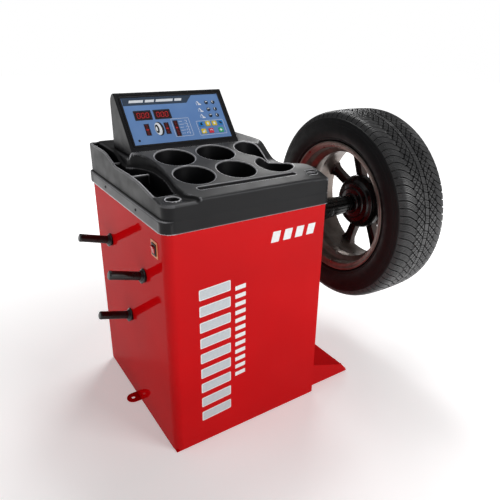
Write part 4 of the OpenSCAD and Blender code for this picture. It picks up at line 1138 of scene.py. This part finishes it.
def build_spindle():
    """The nose cover with its two steps and rolled end, and the dished flange with its turned steps."""
    nose = [(519, 24), (519, 45.5), (537.5, 45.5), (538, 51), (539.5, 52), (547, 51.8), (549, 50.4),
            (551, 49.6), (700, 37.6), (703, 36.6), (706, 35.6), (709, 36.2), (786, 31.4), (790, 31.0),
            (792, 29.8), (794, 30.6), (803, 29.6), (805.5, 28.6), (806, 27.6), (806, 24)]
    piece("spindle_nose_cover", lathe("spindle_nose_cover", nose, 160), BLACK_GLOSS, "machine")
    housing = from_cad("spindle_housing", 0)
    keep = bmesh.new()
    keep.from_mesh(housing)
    split = at(519.2, 0, 0)
    bmesh.ops.bisect_plane(keep, geom=keep.verts[:] + keep.edges[:] + keep.faces[:], plane_co=split,
                           plane_no=(1, 0, 0), clear_outer=True)
    rim_edges = [e for e in keep.edges if e.is_boundary]
    bmesh.ops.holes_fill(keep, edges=rim_edges)
    keep.to_mesh(housing)
    keep.free()
    piece("spindle_housing_tube", housing, BLACK_GLOSS, "machine", ["spindle_housing"],
          angle=30)
    flange = [(812, 19), (812, 31.5), (813, 33), (816, 33.6), (819, 36.6), (820, 39), (820.6, 52),
              (822.4, 55.4), (824.6, 56.6), (826, 58.4), (828, 70.6), (829.6, 73.6), (832, 75), (834, 77.4),
              (838.4, 86.4), (840.2, 88.4), (843.5, 89.8), (846, 92.4), (850.5, 96), (855, 98.2),
              (860, 99.6), (864, 100), (868.5, 100), (869.5, 99), (871, 99), (872, 100), (875, 100),
              (876, 99), (876, 86), (875, 84), (858.5, 83.4), (847, 75.4), (839, 61.4), (836.6, 45),
              (838, 40.6), (842, 40), (876, 40), (876, 19)]
    piece("wheel_flange_dished", lathe("wheel_flange_dished", flange, 192), BLACK_GLOSS, "spindle",
          ["wheel_flange"])
    build_thread()
    cup = [(940, 18.4), (940, 42), (941, 44), (942.5, 44.6), (948, 48.6), (950.5, 49.8), (955, 50),
           (956, 49), (956, 30), (955, 28.6), (955, 18.4)]
    piece("pressure_cup_moulded", lathe("pressure_cup_moulded", cup, 96), CUP_PLASTIC, "clamp_cup",
          ["pressure_cup"])
    cone = [(905, 18.1), (905, 24), (906, 25), (932.4, 40.4), (933.6, 41), (938, 41), (939, 40.2),
            (939, 18.1)]
    piece("centring_cone_ground", lathe("centring_cone_ground", cone, 96), GROUND, "spindle",
          ["centring_cone"])
    nut = [(958, 18.4), (958, 43), (959, 44), (964, 45.6), (967, 45.8)]
    for i in range(5):
        x = 970 + i * 5.2
        nut += [(x, 45.2 - i * 1.1), (x + 0.8, 43.6 - i * 1.1), (x + 2.2, 43.6 - i * 1.1),
                (x + 3.0, 44.9 - i * 1.1)]
    nut += [(998, 39.6), (1002, 36), (1004, 33), (1004, 18.4)]
    parts = [lathe("nut_body", nut, 96)]
    for sign in (1, -1):
        foot = Vector((978, AXIS_Y, AXIS_Z))
        out = Vector((0, 0, sign))
        bar = [(36, 0.0), (36, 9.6), (44, 9.4), (48, 8.2), (88, 7.2), (92, 7.6), (95, 9.6)]
        bar += [(104 + 13.8 * math.sin(math.radians(a)), 13.8 * math.cos(math.radians(a)))
                for a in range(-40, 90, 10)]
        bar += [(117.8, 0.0)]
        parts.append(turned("nut_handle", bar, foot, out, 40))
    piece("quick_nut_cast", join_meshes("quick_nut_cast", parts), NUT_PAINT, "clamp_nut",
          ["quick_nut"])


def build_thread():
    """The trapezoidal thread as one helical strip closed on itself, then the plain end."""
    pitch, crest, root, steps = 6.0, 18.0, 15.6, 40
    start, end = 889.0, 1036.0
    turns = int((end - start) / pitch) - 1
    shape = ((0.0, root), (0.18, crest - 0.2), (0.24, crest), (0.46, crest), (0.52, crest - 0.2), (0.7, root))
    points, faces = [], []
    count = turns * steps
    for k in range(count + 1):
        a = 2 * math.pi * k / steps
        x0 = start + pitch * k / steps
        for share, r in shape:
            points.append((x0 + share * pitch, AXIS_Y - r * math.sin(a), AXIS_Z + r * math.cos(a)))
        points.append((x0 + 0.35 * pitch, AXIS_Y - 12 * math.sin(a), AXIS_Z + 12 * math.cos(a)))
    ring = len(shape) + 1
    for k in range(count):
        for i in range(ring):
            j = (i + 1) % ring
            faces.append((k * ring + i, k * ring + j, (k + 1) * ring + j, (k + 1) * ring + i))
    faces.append(tuple(range(ring))[::-1])
    faces.append(tuple(count * ring + i for i in range(ring)))
    strip = make_mesh("thread_strip", points, faces)
    clean(strip)
    core = lathe("thread_core", [(840, 0.0), (840, 18), (887.6, 18), (888.6, 17), (889.4, 15.7),
                                 (1029, 15.7), (1031, 17.6), (1036, 17.8), (1036.6, 17), (1081, 17),
                                 (1083, 15.4), (1085, 13), (1085, 0.0)], 64)
    piece("threaded_shaft_cut", join_meshes("threaded_shaft_cut", [core, strip]), GROUND, "spindle",
          ["threaded_shaft"])


# Wheel --------------------------------------------------------------------------------------------

LIP_X, LIP_R, SEAT_R = 729, 235.6, 218.3
TYRE_MID = LIP_X + 100
TYRE_R = 341


def own_axis(x, across, up):
    """A point about the spindle's axis, in metres, for meshes that are repeated round it."""
    return (at(x, 0, 0).x, across * MM, up * MM)


def round_axis(count, start=0.0):
    centre = at(0, AXIS_Y, AXIS_Z)
    return [((0, centre.y, centre.z), (start + 2 * math.pi * i / count, 0, 0)) for i in range(count)]


def loft(name, sections):
    """A mesh through sections that hold the same number of points, given in metres."""
    ring = len(sections[0])
    points = [p for section in sections for p in section]
    faces = []
    for k in range(len(sections) - 1):
        for i in range(ring):
            j = (i + 1) % ring
            faces.append((k * ring + i, k * ring + j, (k + 1) * ring + j, (k + 1) * ring + i))
    faces.append(tuple(range(ring))[::-1])
    faces.append(tuple((len(sections) - 1) * ring + i for i in range(ring)))
    mesh = bpy.data.meshes.new(name)
    mesh.from_pydata(points, [], faces)
    clean(mesh, 1e-7)
    return mesh


def spoke_section(r, half, back, front, floor):
    """A channel-backed spoke cut across at radius r: two ribs with a trough between them."""
    rib = 5.0
    shape = [(-half, back + 2), (-half + 1, back), (-half + rib - 1, back), (-half + rib, back + 1.5),
             (-half + rib + 1.5, floor - 1.5), (-half + rib + 4, floor), (half - rib - 4, floor),
             (half - rib - 1.5, floor - 1.5), (half - rib, back + 1.5), (half - rib + 1, back),
             (half - 1, back), (half, back + 2), (half + 0.6, front - 5), (half - 2.5, front - 0.8),
             (half - 6, front), (-half + 6, front), (-half + 2.5, front - 0.8), (-half - 0.6, front - 5)]
    return [own_axis(x, t, r) for t, x in shape]


def build_rim():
    outer = [(0, LIP_R - 2), (1, LIP_R), (3, LIP_R + 0.6), (5, LIP_R + 0.2), (6.2, LIP_R - 2),
             (6.6, LIP_R - 6), (7.4, SEAT_R + 4), (9.4, SEAT_R + 0.8), (13, SEAT_R),
             (32, SEAT_R - 1.4), (35, SEAT_R - 2.4),
             (39, SEAT_R - 6), (49, 203), (53, 200.4), (58, 200), (80, 200), (86, 200.6), (100, 207),
             (130, 209.6), (158, 211.8), (163, 214), (167, SEAT_R - 1), (187, SEAT_R), (190.6, SEAT_R + 0.8),
             (192.6, SEAT_R + 4), (193.4, LIP_R - 6), (193.8, LIP_R - 2), (195, LIP_R + 0.2),
             (197, LIP_R + 0.6), (199, LIP_R), (200, LIP_R - 2)]
    inner = [(200, LIP_R - 4), (199, LIP_R - 6), (197, LIP_R - 7.4), (194, LIP_R - 9), (192, SEAT_R - 1),
             (190, SEAT_R - 6), (184, SEAT_R - 9), (162, 206), (120, 202.4), (100, 200.6), (90, 197),
             (82, 194.6), (76, 194), (56, 194), (51, 195), (42, 204.4), (37, 209), (32, SEAT_R - 7.6),
             (12, SEAT_R - 5.4), (9, SEAT_R - 3.6), (7, LIP_R - 14), (5.4, LIP_R - 10.4), (3, LIP_R - 8.4),
             (1, LIP_R - 6.6), (0, LIP_R - 4)]
    barrel = lathe("rim_barrel", [(LIP_X + x, r) for x, r in outer + inner], 192)
    piece("rim_barrel", barrel, ALLOY, "spindle")
    hub = lathe("rim_hub", [(876, 33.4), (876, 72), (878, 74), (888, 75), (906, 74.6), (914, 72), (918, 66),
                            (918, 48), (917, 46.6), (912, 44), (911, 33.4), (877, 32.6)], 120)
    holes = []
    for i in range(5):
        a = 2 * math.pi * i / 5
        y, z = AXIS_Y - 57.15 * math.sin(a), AXIS_Z + 57.15 * math.cos(a)
        holes.append(prism("lug", circle_points(7.2, 24, y, z), along_x, 870, 925))
        holes.append(prism("seat", circle_points(11, 28, y, z), along_x, 892, 926))
    hub = cut(hub, holes)
    piece("rim_hub", hub, SPOKE, "spindle", angle=30)
    sections = []
    for r, half, back, front, floor in ((66, 15, 886, 915, 897), (84, 15.5, 888, 917.5, 900),
                                        (110, 15.5, 889, 919, 902), (140, 16, 890.5, 919.5, 903),
                                        (168, 17, 892, 919.5, 904), (188, 19.5, 893, 919.5, 905),
                                        (199, 23, 891, 920, 905), (206.5, 28, 887, 922, 904)):
        sections.append(spoke_section(r, half, back, front, floor))
    spoke = loft("spoke", sections)
    phase = math.radians(22.5)
    piece("rim_spokes", repeated("rim_spokes", spoke, round_axis(8, phase), SPOKE), None, "spindle",
          ["wheel_rim"], angle=40)
    weights = []
    for angle in (48, 62):
        band = []
        for k in range(7):
            a = math.radians(angle) + (k - 3) * 0.0185
            band.append([(x, AXIS_Y - r * math.sin(a), AXIS_Z + r * math.cos(a))
                         for x, r in ((744, 207.6), (744.6, 207), (760, 206.2), (760.6, 206.8),
                                      (760.8, 211.2), (743.8, 212.4))])
        count = 6
        points = [p for row in band for p in row]
        faces = [tuple(range(count))[::-1], tuple(6 * count + i for i in range(count))]
        for k in range(6):
            faces += [(k * count + i, k * count + (i + 1) % count, (k + 1) * count + (i + 1) % count,
                       (k + 1) * count + i) for i in range(count)]
        strip = make_mesh("weight", points, faces)
        clean(strip)
        weights.append(strip)
    piece("balance_weights_stuck", join_meshes("weights", weights), WEIGHT, "spindle",
          ["balance_weights"], angle=30)


SIDE = ((0, 0), (0.3, -0.3), (0.62, -2), (0.78, -5), (0.88, -12), (0.94, -24), (0.98, -40), (1, -56),
        (0.99, -72), (0.95, -88), (0.885, -101))
TREAD_DEPTH = 8.0
PITCHES = 84


def tread_radius(w):
    """Outer radius of the tread at a distance w across it from the middle."""
    rows = [(s * 110, TYRE_R + drop) for s, drop in SIDE]
    keys = [r[0] for r in rows[:7]]
    values = [r[1] for r in rows[:7]]
    return sum(np.interp(abs(w) + d, keys, values) for d in (-3, 0, 3)) / 3


def block(w0, w1, low, high, steps, depth=TREAD_DEPTH):
    """A tread block between two curves across the tread, in metres about the axis. low and high give the
    distance round the tread, in millimetres, of its two sides at each w."""
    sections = []
    for k in range(steps + 1):
        w = w0 + (w1 - w0) * k / steps
        a, b = low(w), high(w)
        r = tread_radius(w)
        ease = 0.7 if 0 < k < steps else 1.2
        chamfer = min(0.8, (b - a) * 0.3)
        ring = []
        for s, rise in ((a, -depth - 1.5), (a, -ease), (a + chamfer, 0.0), (b - chamfer, 0.0), (b, -ease),
                        (b, -depth - 1.5)):
            turn = s / TYRE_R
            ring.append(own_axis(TYRE_MID + w, -(r + rise) * math.sin(turn), (r + rise) * math.cos(turn)))
        sections.append(ring)
    if w1 < w0:
        sections.reverse()
    return loft("block", sections)


def tread_unit():
    """One repeat of the tread, two pitches long. Long grooves lean one way and short ones cross them, so
    that the blocks between are diamonds. Past the diamonds the long grooves sweep round the edge of the
    tyre between shoulder bars. The two sides of the tyre lean opposite ways."""
    pitch = 2 * math.pi * TYRE_R / PITCHES
    lean, cross, start_w, groove = 0.9, 1.06, 12.5, 2.1
    half_wide = pitch / (lean + cross)
    parts = []

    def long_groove(u):
        past = max(u - 3 * half_wide, 0)
        return lean * u - 0.0085 * past ** 2

    def sliced(w0, w1, low, high, shares, steps, depth=TREAD_DEPTH):
        """The block cut into slices by fine sipes at the shares of its width."""
        for a, b in zip(shares, shares[1:]):
            near, far = (0.4 if a > 0 else 0), (0.4 if b < 1 else 0)
            parts.append(block(w0, w1, lambda w: low(w) + (high(w) - low(w)) * a + near,
                               lambda w: low(w) + (high(w) - low(w)) * b - far, steps, depth))

    for row in (0, 1):
        base = row * pitch

        def rib_low(w):
            return base + 0.3 * w + 1.2

        def rib_high(w):
            return base + 0.3 * w + pitch - 1.2

        sliced(-8.5, 8.5, rib_low, rib_high, (0, 0.33, 0.67, 1) if row else (0, 1), 3)
        for side in (1, -1):
            start = base + pitch / 4 * side

            def sides_at(u, column):
                """Middle and half length of a diamond, or of the pointed end of a shoulder bar."""
                off = u - column * half_wide
                middle = pitch / 2 + lean * column * half_wide + (lean - cross) / 2 * off
                if column == 3 and off > 0:
                    middle, off = pitch / 2 + long_groove(u), 0
                return middle, pitch / 2 * (1 - abs(off) / half_wide) - groove

            for column, u0, u1, steps, shares, depth in (
                    (0, 0.5, half_wide - 2.8, 2, (0, 1), TREAD_DEPTH),
                    (1, 2.6, 2 * half_wide - 2.6, 2, (0, 0.5, 1), TREAD_DEPTH),
                    (2, half_wide + 2.6, 3 * half_wide - 2.6, 2, (0, 0.5, 1), TREAD_DEPTH),
                    (3, 2 * half_wide + 3.2, 104.5 - start_w, 9, (0, 0.27, 0.52, 0.76, 1), 6.5)):
                def low(w):
                    middle, reach = sides_at(abs(w) - start_w, column)
                    return start + side * middle - reach

                def high(w):
                    middle, reach = sides_at(abs(w) - start_w, column)
                    return start + side * middle + reach

                sliced((start_w + u0) * side, (start_w + u1) * side, low, high, shares, steps, depth)
    return join_meshes("tread_unit", parts)


def build_tyre():
    crown = [(w, tread_radius(w) - TREAD_DEPTH + (2.2 if w > 85 else 0)) for w in range(0, 101, 5)]
    bulge = softened([crown[-1], (104.5, 316), (107.6, 300.6), (110, 286), (109.4, 268), (104.8, 252.4),
                      (97.6, 241), (93.6, 238.6)], 7, 4, closed=False)
    half = crown[:-1] + bulge
    bead = [(92.4, 236.6), (92.0, 232), (91.2, 222.6), (88, 218.9), (75, 218.8), (78, 236), (90, 263),
            (96, 291), (88, 315), (66, 325), (0, 326)]
    ring = half + bead
    mirrored = [(-w, r) for w, r in ring[::-1] if w > 0]
    profile = [(TYRE_MID + w, r) for w, r in ring + mirrored]
    carcass = lathe("tyre_carcass", profile, 200)
    bands = []
    for radius, width, height in ((306, 1.6, 0.8), (296, 1.0, 0.6), (247.5, 2.4, 1.2)):
        for side_sign in (1, -1):
            w = np.interp(radius, [238.6, 241, 252.4, 268, 286, 300.6, 316],
                          [93.6, 97.6, 104.8, 109.4, 110, 107.6, 104.5])
            rows = [(w - 2, radius - width), (w + height * 0.6, radius - width),
                    (w + height, radius - width / 2), (w + height, radius + width / 2),
                    (w + height * 0.6, radius + width), (w - 2, radius + width)]
            bands.append(lathe("band", [(TYRE_MID + side_sign * min(a, 112.5), r) for a, r in rows], 200))
    body = join_meshes("tyre_carcass", [carcass, *bands])
    piece("tyre_carcass", body, SIDEWALL, "spindle", ["tyre"], angle=40)
    tread = repeated("tyre_tread", tread_unit(), round_axis(PITCHES // 2), TYRE)
    piece("tyre_tread", tread, None, "spindle", angle=30)
    valve_foot = Vector((LIP_X + 44, AXIS_Y, AXIS_Z))
    out = Vector((0, math.sin(math.radians(60)), math.cos(math.radians(60))))
    stem = [(168, 0.0), (168, 3.4), (169, 3.8), (176, 3.8), (177, 3.2), (178, 3.2), (179, 4.4),
            (182, 5.2), (200, 5.5), (214, 5.5), (216, 6.4), (216.6, 8), (219, 8), (219, 0.0)]
    valve = turned("valve", stem, valve_foot, out, 32)
    piece("valve_stem_snap_in", valve, SMALL_RUBBER, "spindle", ["valve_stem"])


# Parts inside the cabinet --------------------------------------------------------------------------

INNER = {
    "display_board": BOARD, "power_board": BOARD, "spindle_pedestal": PRIMER, "motor_bracket": PRIMER,
    "front_bearing": GROUND, "rear_bearing": GROUND, "force_sensors": ZINC, "sensor_studs": ZINC,
    "encoder_sensor": BLACK_PLASTIC, "drive_motor": MOTOR_PAINT, "mains_inlet": BLACK_PLASTIC,
    "drive_belt": BELT, "motor_pulley": ALUMINIUM, "spindle_shaft": GROUND, "driven_pulley": ALUMINIUM,
    "encoder_disc": GROUND, "peg_rods": ZINC, "base_frame": RED,
}


def dress_inner():
    """Parts out of sight keep their CAD meshes and get the finish of the real part."""
    for node, material in INNER.items():
        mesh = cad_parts[node].data
        mesh.materials.clear()
        mesh.materials.append(material)


# Studio -------------------------------------------------------------------------------------------

def studio_world():
    """White where the camera sees it. What the machine sees is dim in front and paler to the left, as in a
    room with black flags beside the camera and a white wall on the left."""
    world = bpy.data.worlds.new("studio_world")
    bpy.context.scene.world = world
    world.use_nodes = True
    tree = world.node_tree
    background = tree.nodes["Background"]
    direction = add(tree, "ShaderNodeTexCoord").outputs["Generated"]
    parts = add(tree, "ShaderNodeSeparateXYZ", {"Vector": direction}).outputs
    leftward = add(tree, "ShaderNodeMapRange", {"Value": parts["X"], "From Min": -0.95, "From Max": -0.2,
                                                "To Min": 0.3, "To Max": 0.1}).outputs["Result"]
    upward = add(tree, "ShaderNodeMapRange", {"Value": parts["Z"], "From Min": 0.2, "From Max": 0.9,
                                              "To Min": 0.0, "To Max": 0.1}).outputs["Result"]
    glow = add(tree, "ShaderNodeMath", {0: leftward, 1: upward}, operation="ADD").outputs[0]
    seen = add(tree, "ShaderNodeLightPath").outputs["Is Camera Ray"]
    level = add(tree, "ShaderNodeMix", {0: seen, 2: glow, 3: 1.0}, data_type="FLOAT").outputs[0]
    tree.links.new(level, background.inputs["Strength"])
    background.inputs["Color"].default_value = colour("FFFFFF")


def build_studio():
    """A plain pale floor under soft lights, the strongest from the front right."""
    studio_world()
    bpy.context.scene.view_settings.view_transform = "Standard"
    material, tree, shader, coords = begin("studio_floor_paper")
    tone = spread(tree, noise(tree, coords, 900, 2), 0, 1)
    set_input(tree, shader, "Base Color", mixed(tree, tone, colour("FAFAFA"), colour("F6F6F6")))
    shader.inputs["Roughness"].default_value = 0.85
    shader.inputs["Specular IOR Level"].default_value = 0.1
    # The paper is lit from behind away from the machine, so that the floor runs into the white room.
    away = add(tree, "ShaderNodeVectorMath", {0: coords}, operation="LENGTH").outputs["Value"]
    shader.inputs["Emission Color"].default_value = colour("FFFFFF")
    set_input(tree, shader, "Emission Strength", spread(tree, away, 0.3, 0.95, 0.6, 2.2))
    wide = 14.0
    mesh = bpy.data.meshes.new("studio_floor")
    mesh.from_pydata([(-wide, -wide, 0), (wide, -wide, 0), (wide, wide, 0), (-wide, wide, 0)], [],
                     [(0, 1, 2, 3)])
    mesh.materials.append(material)
    floor = bpy.data.objects.new("studio_floor", mesh)
    bpy.context.scene.collection.objects.link(floor)
    centre = Vector((0.1, 0, 0.55))
    for name, place, size, power in (("key", (1.8, -3.4, 1.9), 1.8, 66), ("left", (-3.0, 0.9, 1.8), 1.6, 3),
                                     ("top", (0.8, 0.9, 3.4), 1.0, 36), ("back", (2.4, 2.6, 2.2), 1.0, 24)):
        data = bpy.data.lights.new(name, "AREA")
        data.shape = "SQUARE"
        data.size = size
        data.energy = power
        light = bpy.data.objects.new(name, data)
        bpy.context.scene.collection.objects.link(light)
        light.location = place
        light.rotation_mode = "QUATERNION"
        light.rotation_quaternion = (centre - Vector(place)).to_track_quat("-Z", "Y")


build_cabinet()
build_tray()
build_console()
build_switch()
build_pegs()
build_fixings()
build_spindle()
build_rim()
build_tyre()
dress_inner()
build_studio()
